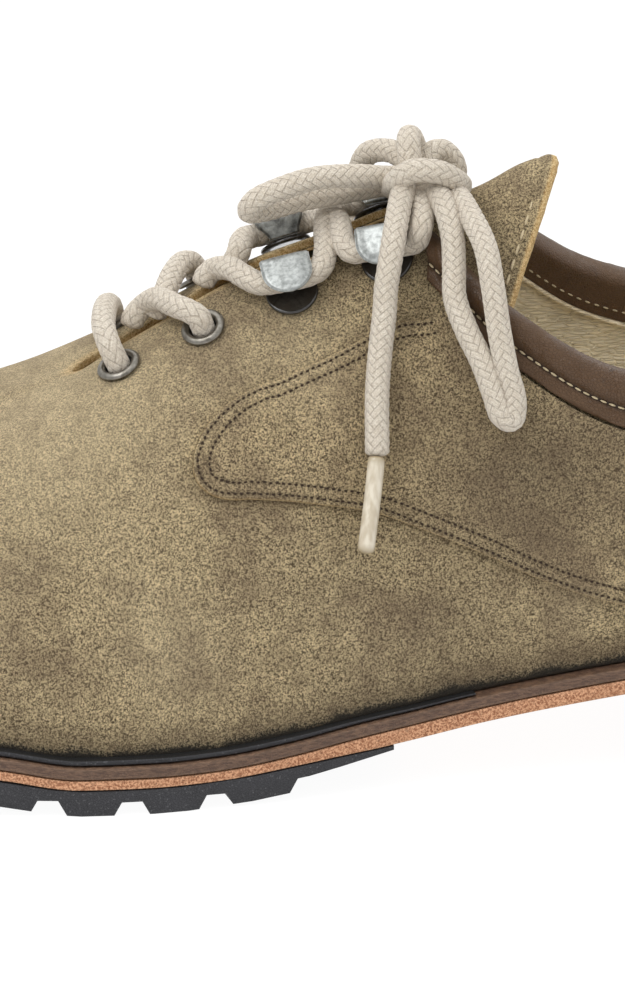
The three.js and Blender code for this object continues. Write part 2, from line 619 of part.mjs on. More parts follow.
// Fastenings
function eyelet(matrix) {
  const back = -WALL - 0.1;
  const face = GAP + EYELET_THICK;
  const ring = turned([
    [EYELET_HOLE, back],
    [EYELET_BARREL, back],
    [EYELET_BARREL, GAP],
    [EYELET_FLANGE, GAP],
    [EYELET_FLANGE - 0.6, face],
    [EYELET_HOLE + 0.5, face],
    [EYELET_HOLE, face - 0.5],
  ]);
  return solidOf(ring.applyMatrix4(matrix));
}
const HOOK = { radius: 4.9, base: 0.7, width: 9.4, neck: 4.9, thick: 0.8, reach: 4 };
function hookBase(matrix) {
  const top = GAP + HOOK.base;
  const disc = turned([
    [0, GAP],
    [HOOK.radius, GAP],
    [HOOK.radius, top - 0.2],
    [HOOK.radius - 0.5, top],
    [0, top],
  ]);
  return solidOf(disc.applyMatrix4(matrix));
}
function hookPlate(matrix) {
  const foot = GAP + HOOK.base + GAP;
  const roof = foot + LACE + GAP;
  const bend = 1.4;
  const shape = new THREE.Shape();
  shape.moveTo(-HOOK.neck, foot);
  shape.lineTo(-HOOK.neck, roof - bend + HOOK.thick);
  shape.quadraticCurveTo(-HOOK.neck, roof + HOOK.thick, bend - HOOK.neck, roof + HOOK.thick);
  shape.lineTo(HOOK.reach, roof + HOOK.thick);
  shape.lineTo(HOOK.reach, roof);
  shape.lineTo(HOOK.thick + bend - HOOK.neck, roof);
  shape.quadraticCurveTo(HOOK.thick - HOOK.neck, roof, HOOK.thick - HOOK.neck, roof - bend);
  shape.lineTo(HOOK.thick - HOOK.neck, foot);
  const strip = new THREE.ExtrudeGeometry(shape, {
    depth: HOOK.width,
    bevelEnabled: false,
    curveSegments: 3,
  });
  strip.translate(0, 0, -HOOK.width / 2).rotateX(Math.PI / 2);
  const outline = new THREE.Shape();
  outline.moveTo(-HOOK.neck - 1, -HOOK.width);
  outline.lineTo(-1, -HOOK.width / 2);
  outline.absellipse(-1, 0, HOOK.reach + 1, HOOK.width / 2, -Math.PI / 2, Math.PI / 2, false, 0);
  outline.lineTo(-HOOK.neck - 1, HOOK.width);
  const cut = new THREE.ExtrudeGeometry(outline, {
    depth: roof + HOOK.thick + 1,
    bevelEnabled: false,
    curveSegments: 8,
  });
  return solidOf(strip.applyMatrix4(matrix)).intersect(solidOf(cut.applyMatrix4(matrix)));
}

// Lace routes, chosen by hand: steps in X, Y and Z from the fastening that the lace lies at
const fastened = {};
for (const { name, kind, rib, v } of FASTENINGS) {
  for (const side of SIDES) fastened[`${kind}_${name}_${side.name}`] = skin(side.rib(rib), v);
}
const by = (name, ...steps) => steps.map((step) => new THREE.Vector3(...step).add(fastened[name]));
const LACE_ROUTES = {
  bar: [
    ...by("eyelet_1_lateral", [-0.6, -0.5, 1.4], [-1.8, 0, 4], [-2.7, 4.1, 6.4], [-2.4, 9.6, 7.5]),
    ...by("eyelet_1_medial", [-2.3, -5.6, 5.3], [-1.4, -1.5, 4.1], [-0.7, 0.2, 1.6]),
  ],
  toNearEyelet: [
    ...by("eyelet_1_medial", [4.4, -9.9, 6.3]),
    ...by(
      "eyelet_2_lateral",
      [-8.1, 7.6, 3.9], [-5.1, 2.4, 3.9], [-2.7, -0.4, 3.6], [-0.9, -1.2, 2.5], [-0.5, -0.8, 1.3],
    ),
  ],
  toFarEyelet: [
    ...by("eyelet_2_lateral", [-7.1, 9.4, 3.4]),
    ...by("eyelet_2_medial", [-5.5, -6.8, 3.4], [-3.1, -2, 4.3], [-1.3, 0.1, 3.2], [-0.7, 0.4, 1.5]),
  ],
  nearHookFirst: [
    ...by("eyelet_2_medial", [1.8, -10.8, 5.2]),
    ...by(
      "hook_1_lateral",
      [-11.2, 4.9, 3.8], [-8.9, 1.1, 3.3], [-6.4, -1, 2.6], [-3.6, -1.4, 2.8], [-0.7, -1.4, 3.4],
      [2.2, -1.7, 4], [5.1, -1, 5.3], [6.4, 2.9, 7.9],
    ),
    ...by("hook_2_lateral", [-11.1, 7.8, 3.9]),
    ...by("hook_1_medial", [7.1, -6.5, 7.6]),
    ...by(
      "hook_2_medial",
      [-9.2, -2.7, 2.9], [-6.6, 0.5, 2.5], [-3.7, 1.2, 2.9], [-0.8, 1.9, 3.3], [2.2, 2.6, 3.6],
      [4.6, 2.7, 4.3], [5.8, 1.6, 7.4], [7.1, -1.9, 9.4],
    ),
  ],
  farHookFirst: [
    ...by(
      "hook_1_medial",
      [-9.6, -8.5, 1.5], [-8.5, -3.5, 2.6], [-6.7, -0.3, 2.4], [-3.9, 0.4, 2.8], [-1, 0.7, 3.5],
      [1.9, 1.2, 4.2], [5.2, 0.2, 5.4], [7.3, -3.5, 7],
    ),
    ...by("hook_2_medial", [-8.7, -9.7, 2.6]),
    ...by(
      "hook_2_lateral",
      [-8.4, 5.3, 4.7], [-8.1, 1.2, 3.1], [-6.6, -1.1, 2.1], [-3.9, -1.3, 2.5], [-1, -1.8, 3.1],
      [1.9, -2.4, 3.6], [4.9, -3, 4.4], [5.7, -3.8, 6.7], [6.3, -1.8, 8.7], [6.5, 2.3, 10.7],
      [7.5, 8.8, 12.4],
    ),
  ],
  knotBand: by(
    "hook_2_lateral",
    [2.1, 13.3, 10.3], [1.7, 9.4, 12.5], [3.9, 6, 15.9], [7.9, 5, 16.9], [11.9, 6.8, 15.5],
    [14.1, 10.8, 12.7], [12.7, 14.3, 10.5],
  ),
  knotTop: by(
    "hook_2_lateral",
    [4.9, 8.2, 15.3], [4.9, 10.8, 18.3], [5.3, 14.2, 19.1], [6.1, 17.2, 17.3], [7.1, 18.4, 14.3],
    [8.5, 16.8, 11.9],
  ),
  toeLoop: by(
    "hook_2_lateral",
    [5.5, 9.8, 13.5], [0.6, 9.2, 13.1], [-5.5, 5.8, 14.4], [-13.5, 3.8, 14.6], [-20.1, 2.8, 12.8],
    [-23.9, 3.2, 10.9], [-24.8, 5.2, 8.9], [-21.1, 7.2, 8.3], [-15.7, 8.8, 9.5],
    [-8.5, 11.2, 10.1], [-2, 13.2, 10.1], [4.5, 14.2, 11.3],
  ),
  hangingLoop: by(
    "hook_2_lateral",
    [7.7, 8.8, 13.9], [9.1, 1.3, 14.3], [10.4, -4.2, 11.3], [11.4, -7.6, 6.3], [11.4, -11, 1.3],
    [11.3, -14.4, -3.5], [13.1, -18, -8.5], [15.7, -21.5, -13.7], [17.7, -24.2, -19.1],
    [19.1, -25.6, -22.9], [21.1, -25.8, -23.7], [21.9, -24.8, -20.7], [20.9, -23, -14.7],
    [20.1, -20.6, -7.8], [19.7, -17.6, -0.6], [19.4, -14.2, 6.5], [17.9, -7.8, 10.7],
    [15.1, 0.4, 13.1], [12.1, 8.8, 13.3],
  ),
  hangingEnd: by(
    "hook_2_lateral",
    [5.9, 9.8, 14.9], [4.1, 3.3, 15.9], [2.5, -1.6, 13.1], [1.4, -5.1, 9.8], [0.4, -8.2, 6],
    [-0.5, -10.5, 1.9], [-1.2, -11.6, -1.9], [-1.6, -13, -6.3], [-2.6, -16, -12.8],
    [-3.3, -18.8, -18.3], [-3.6, -21.2, -23.1], [-3.7, -23, -27.1], [-3.8, -24.5, -30.7],
  ),
  medialEnd: by(
    "hook_2_medial",
    [5.9, -5.7, 11.8], [2.1, -0.7, 13.3], [-1.7, 3.3, 12], [-3.1, 7.7, 7.4], [-2.7, 11.9, 1],
    [-2.3, 15.7, -6.6], [-2.5, 19.3, -14.8], [-2.9, 22.3, -23.2], [-3.7, 24.7, -31.8],
  ),
};
const AGLETS = {
  hangingEnd: by(
    "hook_2_lateral",
    [-4, -25.2, -31.2], [-4.6, -26.6, -36.1], [-5.6, -29, -42.5], [-6.4, -30.6, -47.5],
  ),
  medialEnd: by(
    "hook_2_medial",
    [-3.8, 25, -32.8], [-4.1, 25.9, -37.6], [-4.5, 26.9, -43.6], [-4.9, 27.7, -49],
  ),
};
const KNOT = { centre: by("hook_2_lateral", [7.9, 12, 12.9])[0], radii: [6, 4.2, 3.6] };
const AGLET = 3.2; // aglet diameter
const CORD_SIDES = 8;
const CORD_STEP = 2.2; // tube step in diameters

function tube(route, diameter) {
  const path = new THREE.CatmullRomCurve3(route, false, "centripetal");
  const circle = new THREE.Shape();
  circle.absarc(0, 0, diameter / 2, 0, 2 * Math.PI, false);
  const steps = Math.max(2, Math.round(path.getLength() / (CORD_STEP * LACE)));
  const geometry = new THREE.ExtrudeGeometry(circle, {
    steps: Math.max(steps, route.length - 1),
    extrudePath: path,
    curveSegments: CORD_SIDES / 2,
  });
  return solidOf(geometry);
}
const strands = (names, grow = 0) =>
  names
    .map((name) => tube(LACE_ROUTES[name], LACE + 2 * grow))
    .reduce((body, strand) => body.add(strand));
function knot(grow) {
  const core = new THREE.IcosahedronGeometry(1, 1)
    .scale(...KNOT.radii.map((radius) => radius + grow))
    .translate(...KNOT.centre.toArray());
  return strands(["knotBand", "knotTop"], grow).add(solidOf(core));
}
const largest = (body) => body.decompose().sort((a, b) => b.volume() - a.volume())[0];

// Materials
const finish = (color, roughness, metalness = 0) =>
  new THREE.MeshStandardMaterial({ color, roughness, metalness });
const SUEDE = finish(0x8f7c5e, 0.95);
const SMOOTH_LEATHER = finish(0x5c4a3c, 0.55);
const TAN_LEATHER = finish(0xcd9169, 0.8);
const WELT_LEATHER = finish(0x785f50, 0.6);
const RUBBER = finish(0x3e3f44, 0.7);
const LINING = finish(0x968a69, 0.7);
const LACE_YARN = finish(0xcdbea8, 0.95);
const STEEL = finish(0xa5acac, 0.3, 1);
const BLACK_METAL = finish(0x17171a, 0.25, 0.6);
const CLEAR_PLASTIC = finish(0xd8cfbb, 0.3);

const shoe = new THREE.Group();
function add(name, body, material) {
  const { numProp, vertProperties, triVerts } = body.getMesh();
  const geometry = new THREE.BufferGeometry();
  const positions = new Float32Array((vertProperties.length / numProp) * 3);
  for (let i = 0; i < positions.length / 3; i += 1) {
    positions.set(vertProperties.subarray(i * numProp, i * numProp + 3), 3 * i);
  }
  geometry.setAttribute("position", new THREE.BufferAttribute(positions, 3));
  geometry.setIndex(new THREE.BufferAttribute(triVerts, 1));
  geometry.computeVertexNormals();
  const mesh = new THREE.Mesh(geometry, material);
  mesh.name = name;
  shoe.add(mesh);
}

add("outsole_forefoot", outsole(), RUBBER);
add("heel_top_piece", heelTopPiece(), RUBBER);
add(
  "heel_lifts",
  layer({ inset: 0.2, bottom: () => TOP_PIECE + GAP, top: (s) => seat(s) - GAP, to: BREAST }),
  TAN_LEATHER,
);
add("midsole", layer({ inset: 0, bottom: seat, top: midsoleTop }), TAN_LEATHER);
add(
  "welt",
  band({
    outer: 0,
    inner: WELT_WIDTH,
    bottom: (s) => midsoleTop(s) + GAP,
    top: weltTop,
    ribs: range(0, RIBS, 2 * RIBS).slice(0, -1),
    closed: true,
  }),
  WELT_LEATHER,
);
const RAND_BACK = 0.44 * LENGTH;
add(
  "storm_rand",
  band({
    outer: RAND_INSET,
    inner: (g) => ledge(g) - GAP,
    bottom: (s) => weltTop(s) + GAP,
    top: (s) => weltTop(s) + GAP + RAND,
    ribs: range(ribAt(RAND_BACK, 1), RIBS + ribAt(RAND_BACK, -1), 40),
  }),
  RUBBER,
);
add("insole", insole(), LINING);
add("upper", upper(), SUEDE);
for (const side of SIDES) add("quarter_" + side.name, quarter(side), SUEDE);
add("collar_binding", binding(), SMOOTH_LEATHER);
add("tongue", tongue(), SUEDE);
for (const { name, kind, rib, v } of FASTENINGS) {
  for (const side of SIDES) {
    const matrix = onSkin(side.rib(rib), v);
    const label = name + "_" + side.name;
    if (kind === "eyelet") {
      add("eyelet_" + label, eyelet(matrix), STEEL);
    } else {
      add("hook_base_" + label, hookBase(matrix), BLACK_METAL);
      add("hook_plate_" + label, hookPlate(matrix), STEEL);
    }
  }
}

// Lace: the knot is cut free of the strands, and each strand of those before it
add("lace_knot", knot(0), LACE_YARN);
add("lace_bar", tube(LACE_ROUTES.bar, LACE), LACE_YARN);
add("lace_cross_eyelets", strands(["toNearEyelet", "toFarEyelet"]), LACE_YARN);
let taken = knot(GAP);
const CORDS = {
  lace_cross_hooks: ["nearHookFirst", "farHookFirst"],
  lace_loop_hanging: ["hangingLoop"],
  lace_loop_toe: ["toeLoop"],
  lace_end_lateral: ["hangingEnd"],
  lace_end_medial: ["medialEnd"],
};
for (const [name, routes] of Object.entries(CORDS)) {
  add(name, largest(strands(routes).subtract(taken)), LACE_YARN);
  taken = taken.add(strands(routes, GAP));
}
add("aglet_lateral", tube(AGLETS.hangingEnd, AGLET), CLEAR_PLASTIC);
add("aglet_medial", tube(AGLETS.medialEnd, AGLET), CLEAR_PLASTIC);

export default shoe;
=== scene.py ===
# %% [markdown]
# # Haferl shoe: the looks
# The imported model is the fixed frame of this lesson: it says where each piece lies and how large it is.
# Here the plain solids get their leather, yarn, rubber and metal. Reading the frame first keeps every later
# piece in the same place and at the same size.
# %% Load the frame
import math

import bpy
import numpy as np
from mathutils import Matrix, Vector, kdtree


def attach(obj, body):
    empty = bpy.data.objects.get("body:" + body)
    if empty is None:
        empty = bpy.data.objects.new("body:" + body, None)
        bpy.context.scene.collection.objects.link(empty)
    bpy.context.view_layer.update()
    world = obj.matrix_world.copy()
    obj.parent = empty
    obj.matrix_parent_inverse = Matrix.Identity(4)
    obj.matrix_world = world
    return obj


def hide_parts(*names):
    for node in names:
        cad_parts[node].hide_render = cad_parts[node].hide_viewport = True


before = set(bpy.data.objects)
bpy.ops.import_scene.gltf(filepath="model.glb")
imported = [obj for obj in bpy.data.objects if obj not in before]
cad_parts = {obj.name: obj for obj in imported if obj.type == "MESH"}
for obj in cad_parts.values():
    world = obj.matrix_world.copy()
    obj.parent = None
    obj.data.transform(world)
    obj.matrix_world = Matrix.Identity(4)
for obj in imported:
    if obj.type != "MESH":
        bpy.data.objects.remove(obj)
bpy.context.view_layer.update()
MM = 0.001

# %% [markdown]
# ## Camera and light
# The photograph is a catalogue picture, taken from some way off with a long lens, a little above the shoe and
# a little towards the toe. A far camera with a long lens gives the same flat perspective. The sky is a white
# tent: bright overhead, so the leather is lightest where it faces up, and white behind the shoe.
# %% Camera
def put(name, data):
    """A new object in the scene."""
    obj = bpy.data.objects.new(name, data)
    bpy.context.scene.collection.objects.link(obj)
    return obj


ELEVATION = math.radians(17)
YAW = math.radians(4)
DISTANCE = 1.5
LENS = 297
SENSOR = 36
TARGET = Vector((-0.0135, -0.0544, 0.0599))
towards = Vector((-math.sin(YAW) * math.cos(ELEVATION), -math.cos(YAW) * math.cos(ELEVATION), math.sin(ELEVATION)))
camera = put("camera", bpy.data.cameras.new("camera"))
camera.data.sensor_fit = "VERTICAL"
camera.data.sensor_height = SENSOR
camera.data.lens = LENS
camera.data.clip_end = 10
camera.location = TARGET + DISTANCE * towards
camera.rotation_euler = (-towards).to_track_quat("-Z", "Y").to_euler()
bpy.context.scene.camera = camera
print("camera at", [round(x, 3) for x in camera.location])

# %% Light
world = bpy.data.worlds.new("tent")
bpy.context.scene.world = world
world.use_nodes = True
sky = world.node_tree
background = sky.nodes["Background"]
direction = sky.nodes.new("ShaderNodeTexCoord")
height = sky.nodes.new("ShaderNodeSeparateXYZ")
ramp = sky.nodes.new("ShaderNodeMapRange")
ramp.inputs["From Min"].default_value = -1
ramp.inputs["From Max"].default_value = 1
brightness = sky.nodes.new("ShaderNodeValToRGB")
TENT = [(0.0, 0.35), (0.26, 1.03), (0.46, 1.03), (0.56, 0.6), (0.75, 0.9), (1.0, 1.5)]
for place_at, value in TENT[2:]:
    brightness.color_ramp.elements.new(place_at)
for element, (place_at, value) in zip(brightness.color_ramp.elements, TENT):
    element.position = place_at
    element.color = (value, value, value, 1)
sky.links.new(direction.outputs["Generated"], height.inputs["Vector"])
sky.links.new(height.outputs["Z"], ramp.inputs["Value"])
sky.links.new(ramp.outputs["Result"], brightness.inputs["Fac"])
sky.links.new(brightness.outputs["Color"], background.inputs["Color"])


def lamp(name, location, aim, size, power):
    light = bpy.data.lights.new(name, "AREA")
    light.size = size
    light.energy = power
    obj = put(name, light)
    obj.location = location
    obj.rotation_euler = (Vector(aim) - Vector(location)).to_track_quat("-Z", "Y").to_euler()


lamp("key", (-0.55, -0.35, 0.95), (-0.02, -0.02, 0.05), 0.5, 3.4)
lamp("back", (0.3, 0.7, 0.7), (0, 0, 0.05), 0.6, 1.6)
bpy.context.scene.view_settings.view_transform = "Standard"

# %% [markdown]
# ## The last as numbers
# A shoe is made over a last, so every piece follows one surface. The same named sizes and short tables as in
# the solid model give that surface here: ribs stand on the sole's edge and end at the top edge, and between
# two ribs the surface runs smoothly. Working from functions lets each piece be as fine as its material needs.
# %% Named sizes and tables, in millimetres
LENGTH = 303
BALL_WIDTH = 107
INSTEP_HEIGHT = 100
HEEL_HEIGHT = 24
TOE_SPRING = 10
GAP = 0.3
WALL = 2.4
QUARTER = 1.3
TONGUE = 2.6
BINDING_DEPTH = 9
OUTSOLE = 5
MIDSOLE = 1.7
MIDSOLE_WAIST = 2.7
WELT = 2.4
WELT_WIDTH = 14
LEDGE = 3.8
LEDGE_HEEL = 2.8
RAND = 0.9
RAND_INSET = 1
INSOLE = 2.8
INSOLE_EASE = 1
TOP_PIECE = 7
LACE = 4.5
SOLE_EDGE = np.array(
    [
        (0, 0, 0), (0.03, 0.2, 0.2), (0.085, 0.285, 0.285), (0.16, 0.318, 0.322), (0.26, 0.322, 0.322),
        (0.36, 0.33, 0.28), (0.44, 0.36, 0.262), (0.51, 0.412, 0.305), (0.58, 0.468, 0.395), (0.66, 0.503, 0.478),
        (0.74, 0.492, 0.512), (0.82, 0.436, 0.492), (0.89, 0.345, 0.425), (0.95, 0.225, 0.31), (0.985, 0.1, 0.175),
        (1, -0.035, 0.035),
    ]
)
SOLE_RISE = np.array(
    [
        (0, 1, 0), (0.1, 0.95, 0), (0.2, 0.83, 0), (0.27, 0.7, 0), (0.35, 0.52, 0), (0.43, 0.34, 0), (0.49, 0.2, 0),
        (0.56, 0.085, 0), (0.6, 0.02, 0), (0.64, 0, 0), (0.685, 0, 0), (0.73, 0, 0.18), (0.8, 0, 0.4),
        (0.87, 0, 0.62), (0.94, 0, 0.83), (1, 0, 1),
    ]
)
LATERAL_RIBS = np.array(
    [
        (0.033, 0, 0.88, 0.24, 0.033, -0.013, 0, -0.22), (0.048, -0.112, 0.87, 0.23, 0.033, -0.008, -0.033, -0.2),
        (0.089, -0.192, 0.805, 0.22, 0.028, 0, -0.047, -0.18), (0.155, -0.234, 0.75, 0.2, 0.023, 0, -0.047, -0.16),
        (0.257, -0.262, 0.718, 0.18, 0.019, 0, -0.047, -0.15), (0.35, -0.262, 0.745, 0.2, 0.028, 0, -0.056, -0.18),
        (0.419, -0.22, 0.862, 0.24, 0.034, 0, -0.085, -0.18),
        (0.472, -0.075, 0.985, 0.27, 0.034, 0.006, -0.15, -0.17),
        (0.521, -0.051, 0.935, 0.28, 0.034, 0.01, -0.187, -0.14),
        (0.581, -0.047, 0.883, 0.28, 0.03, 0.016, -0.206, -0.13),
        (0.627, -0.047, 0.805, 0.25, 0.03, 0.03, -0.224, -0.11),
        (0.657, -0.05, 0.753, 0.25, 0.03, 0.053, -0.243, -0.12),
        (0.673, -0.056, 0.723, 0.26, 0.026, 0.079, -0.206, -0.14),
        (0.679, -0.051, 0.713, 0.27, 0.022, 0.106, -0.112, -0.165),
        (0.681, -0.043, 0.71, 0.28, 0.02, 0.132, -0.03, -0.18),
        (0.6815, -0.035, 0.71, 0.28, 0.02, 0.145, 0.02, -0.16),
    ]
)
MEDIAL_RIBS = np.array(
    [
        (0.033, 0, 0.88, 0.24, 0.033, -0.013, 0, -0.22), (0.048, 0.112, 0.872, 0.23, 0.033, -0.008, 0.033, -0.2),
        (0.089, 0.192, 0.812, 0.22, 0.028, 0, 0.047, -0.18), (0.155, 0.234, 0.765, 0.2, 0.023, 0, 0.047, -0.16),
        (0.257, 0.262, 0.745, 0.18, 0.028, 0, 0.047, -0.16), (0.35, 0.252, 0.805, 0.2, 0.055, 0, 0.056, -0.2),
        (0.419, 0.192, 0.938, 0.22, 0.065, 0, 0.085, -0.2), (0.472, 0.056, 0.995, 0.24, 0.06, 0.006, 0.15, -0.1),
        (0.521, 0.024, 0.952, 0.24, 0.045, 0.01, 0.19, -0.05),
        (0.579, -0.002, 0.891, 0.25, 0.034, 0.016, 0.22, -0.03),
        (0.625, -0.012, 0.809, 0.24, 0.03, 0.03, 0.245, -0.03),
        (0.655, -0.014, 0.757, 0.24, 0.03, 0.053, 0.26, -0.05),
        (0.672, -0.015, 0.726, 0.25, 0.026, 0.085, 0.22, -0.07),
        (0.678, -0.019, 0.714, 0.27, 0.022, 0.112, 0.16, -0.1),
        (0.6805, -0.026, 0.711, 0.28, 0.02, 0.135, 0.09, -0.13),
        (0.6815, -0.035, 0.71, 0.28, 0.02, 0.145, 0.02, -0.16),
    ]
)
HALF = len(SOLE_EDGE) - 1
RIBS = 2 * HALF


def both_sides(lateral, medial):
    return np.vstack([lateral, medial[1:-1][::-1]])


EDGE_LOOP = both_sides(
    np.column_stack([SOLE_EDGE[:, 0] * LENGTH, -SOLE_EDGE[:, 1] * BALL_WIDTH]),
    np.column_stack([SOLE_EDGE[:, 0] * LENGTH, SOLE_EDGE[:, 2] * BALL_WIDTH]),
)
RIB_LOOP = both_sides(LATERAL_RIBS, MEDIAL_RIBS)
print("ribs round the shoe", RIBS)


# %% The surface of the last
def unit(rows):
    """Each row at length 1."""
    return rows / np.linalg.norm(rows, axis=-1, keepdims=True)


def along(rows, at):
    at = np.asarray(at, float)
    i = np.floor(at).astype(int)
    t = (at - i)[..., None]
    a, b, c, d = (rows[(i + k) % len(rows)] for k in (-1, 0, 1, 2))
    return b + 0.5 * t * (c - a + t * (2 * a - 5 * b + 4 * c - d + t * (3 * (b - c) + d - a)))


def through(xs, ys, x):
    xs, ys, x = (np.asarray(q, float) for q in (xs, ys, x))
    h = np.diff(xs)
    slope = np.diff(ys) / h
    inner = slope[:-1] * slope[1:]
    middle = np.where(inner > 0, 2 * inner / np.where(inner > 0, slope[:-1] + slope[1:], 1), 0)
    m = np.concatenate([[slope[0]], middle, [slope[-1]]])
    k = np.clip(np.searchsorted(xs, x, side="right") - 1, 0, len(h) - 1)
    t = np.clip((x - xs[k]) / h[k], 0, 1)
    p, q, u, w = ys[k], ys[k + 1], m[k] * h[k], m[k + 1] * h[k]
    return p + t * (u + t * (3 * (q - p) - 2 * u - w + t * (2 * (p - q) + u + w)))


def edge(g, inset=0):
    here, ahead, behind = (along(EDGE_LOOP, np.asarray(g) + step) for step in (0, 0.02, -0.02))
    run = unit(ahead - behind)
    inset = np.asarray(inset)[..., None]
    return here + inset * np.stack([-run[..., 1], run[..., 0]], -1)


round_edge = edge(np.arange(20 * RIBS) / 20)
MIDDLE_S, MIDDLE_Y = (round_edge.min(0) + round_edge.max(0)) / 2


def place(s, y, z):
    return np.stack(np.broadcast_arrays(MIDDLE_S - s, y - MIDDLE_Y, z), -1)


def seat(s):
    share = s / LENGTH
    lift = (HEEL_HEIGHT - OUTSOLE) * through(SOLE_RISE[:, 0], SOLE_RISE[:, 1], share)
    return OUTSOLE + lift + TOE_SPRING * through(SOLE_RISE[:, 0], SOLE_RISE[:, 2], share)


def midsole_top(s):
    thick = [MIDSOLE_WAIST, MIDSOLE_WAIST, MIDSOLE, MIDSOLE]
    return seat(s) + through([0, 0.49, 0.57, 1], thick, s / LENGTH)


def welt_top(s):
    return midsole_top(s) + WELT


def ledge(g):
    return LEDGE + (LEDGE_HEEL - LEDGE) * np.cos(math.pi * np.asarray(g) / RIBS) ** 4


def bare(g, v):
    g, v = np.broadcast_arrays(np.asarray(g, float), np.asarray(v, float))
    row = along(RIB_LOOP, g)
    s, y, z, up, out, ds, dy, dz = (row[..., k] for k in range(8))
    foot = edge(g, ledge(g))
    base = welt_top(foot[..., 0]) + GAP
    swell = edge(g, ledge(g) - out * BALL_WIDTH)
    a = place(foot[..., 0], foot[..., 1], base)
    b = place(swell[..., 0], swell[..., 1], base + up * INSTEP_HEIGHT)
    c = place((s + ds) * LENGTH, (y + dy) * BALL_WIDTH, (z + dz) * INSTEP_HEIGHT)
    d = place(s * LENGTH, y * BALL_WIDTH, z * INSTEP_HEIGHT)
    v = v[..., None]
    w = 1 - v
    return w**3 * a + 3 * w * w * v * b + 3 * w * v * v * c + v**3 * d


def outward(g, v):
    round_run = bare(g + 0.01, v) - bare(g - 0.01, v)
    up_run = bare(g, v + 0.01) - bare(g, v - 0.01)
    return unit(np.cross(up_run, round_run))


def skin(g, v, lift=0):
    g, v, lift = np.broadcast_arrays(*(np.asarray(q, float) for q in (g, v, lift)))
    return bare(g, v) + lift[..., None] * outward(g, v)


print("a point of the skin", np.round(skin(7.28, 0.905, 1.2), 3))


# %% Depth below the top edge
def depth_to_v(ribs, depths):
    """v at depths below the top edge, one row of depths for each rib."""
    steps = np.linspace(1, 0, 126)
    line = bare(np.asarray(ribs, float)[:, None], steps)
    run = np.cumsum(np.linalg.norm(np.diff(line, axis=1), axis=-1), axis=1)
    run = np.column_stack([np.zeros(len(run)), run])
    depths = np.broadcast_to(depths, (len(run), np.shape(depths)[-1]))
    v = np.stack([np.interp(row, at, steps) for row, at in zip(depths, run)])
    return np.where(depths < 0, 1 - depths * (steps[0] - steps[1]) / run[:, 1:2], v)


print("v 9 mm down at rib 3", np.round(depth_to_v([3], [9]), 3))

# %% [markdown]
# ## Making meshes and finishes
# Each piece is one closed mesh: sections are computed as arrays of points and joined with four-sided faces,
# which is quick even for a hundred thousand points. A helper turns the faces outwards, shades them smoothly
# and tells the frame which body the piece rides on and which plain solid it stands for.
# %% Mesh helpers
def ring_faces(rings, count, closed=False):
    i = np.arange(rings if closed else rings - 1)[:, None]
    j = np.arange(count)[None, :]
    here, ahead = i * count, ((i + 1) % rings) * count
    side = (j + 1) % count
    return np.stack([here + j, here + side, ahead + side, ahead + j], -1).reshape(-1, 4)


def turned_out(points, faces):
    a, b, c, d = (points[faces[:, k]] for k in range(4))
    volume = np.einsum("ij,ij->", a, np.cross(b, c)) + np.einsum("ij,ij->", a, np.cross(c, d))
    return faces[:, ::-1] if volume < 0 else faces


def loft(sections, closed=False):
    """A solid through sections whose first half faces their second half."""
    rings, count = sections.shape[:2]
    faces = ring_faces(rings, count, closed)
    if not closed:
        j = np.arange(count // 2 - 1)
        k = count - 1 - j
        last = (rings - 1) * count
        faces = np.vstack([faces, np.stack([j, k, k - 1, j + 1], -1), last + np.stack([j, j + 1, k - 1, k], -1)])
    points = sections.reshape(-1, 3)
    return points, turned_out(points, faces)


def facing(front, back):
    """The points of two faces as one closed section."""
    return np.concatenate([front, back[:, ::-1]], 1)


def joined(*parts):
    points, faces, start = [], [], 0
    for part_points, part_faces in parts:
        points.append(part_points)
        faces.append(part_faces + start)
        start += len(part_points)
    return np.vstack(points), np.vstack(faces)


def mesh_of(name, points, faces, edges=()):
    mesh = bpy.data.meshes.new(name)
    mesh.from_pydata((points * MM).tolist(), list(edges), np.asarray(faces).tolist())
    return mesh


def frozen(obj):
    """The mesh of an object with its modifiers carried out."""
    return bpy.data.meshes.new_from_object(obj.evaluated_get(bpy.context.evaluated_depsgraph_get()))


def modifier(obj, kind, **settings):
    made = obj.modifiers.new(kind.lower(), kind)
    for key, value in settings.items():
        setattr(made, key, value)
    return made


def enrol(obj, nodes=()):
    """Tell the frame the piece's body, and the solids that it stands for."""
    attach(obj, "root")
    if nodes:
        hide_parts(*nodes)


def piece(name, solid, finish, nodes=(), marks=None):
    points, faces = solid
    mesh = mesh_of(name, points, faces)
    mesh.validate()
    mesh.shade_smooth()
    for key, values in (marks or {}).items():
        layer = mesh.attributes.new(key, "FLOAT", "POINT")
        layer.data.foreach_set("value", np.asarray(values, np.float32).ravel())
    mesh.materials.append(finish)
    obj = put(name, mesh)
    enrol(obj, nodes)
    print(name, len(points), "points")
    return obj


def smooth(low, high, x):
    t = np.clip((np.asarray(x, float) - low) / (high - low), 0, 1)
    return t * t * (3 - 2 * t)


def waves(x, seed, count=5, base=1.0):
    """A slow random wave along x, about -1 to 1."""
    pick = np.random.default_rng(seed)
    total = 0
    for k in range(count):
        total = total + np.sin(x * base * (1 + 0.83 * k) + pick.uniform(0, 6.3)) / (1 + 0.6 * k)
    return total / 1.8


# %% Material helpers
def feed(tree, sockets, values):
    """Give each socket its value, or a link where the value comes from another node."""
    for key, value in values.items():
        if isinstance(value, bpy.types.NodeSocket):
            tree.links.new(value, sockets[key])
        else:
            sockets[key].default_value = value


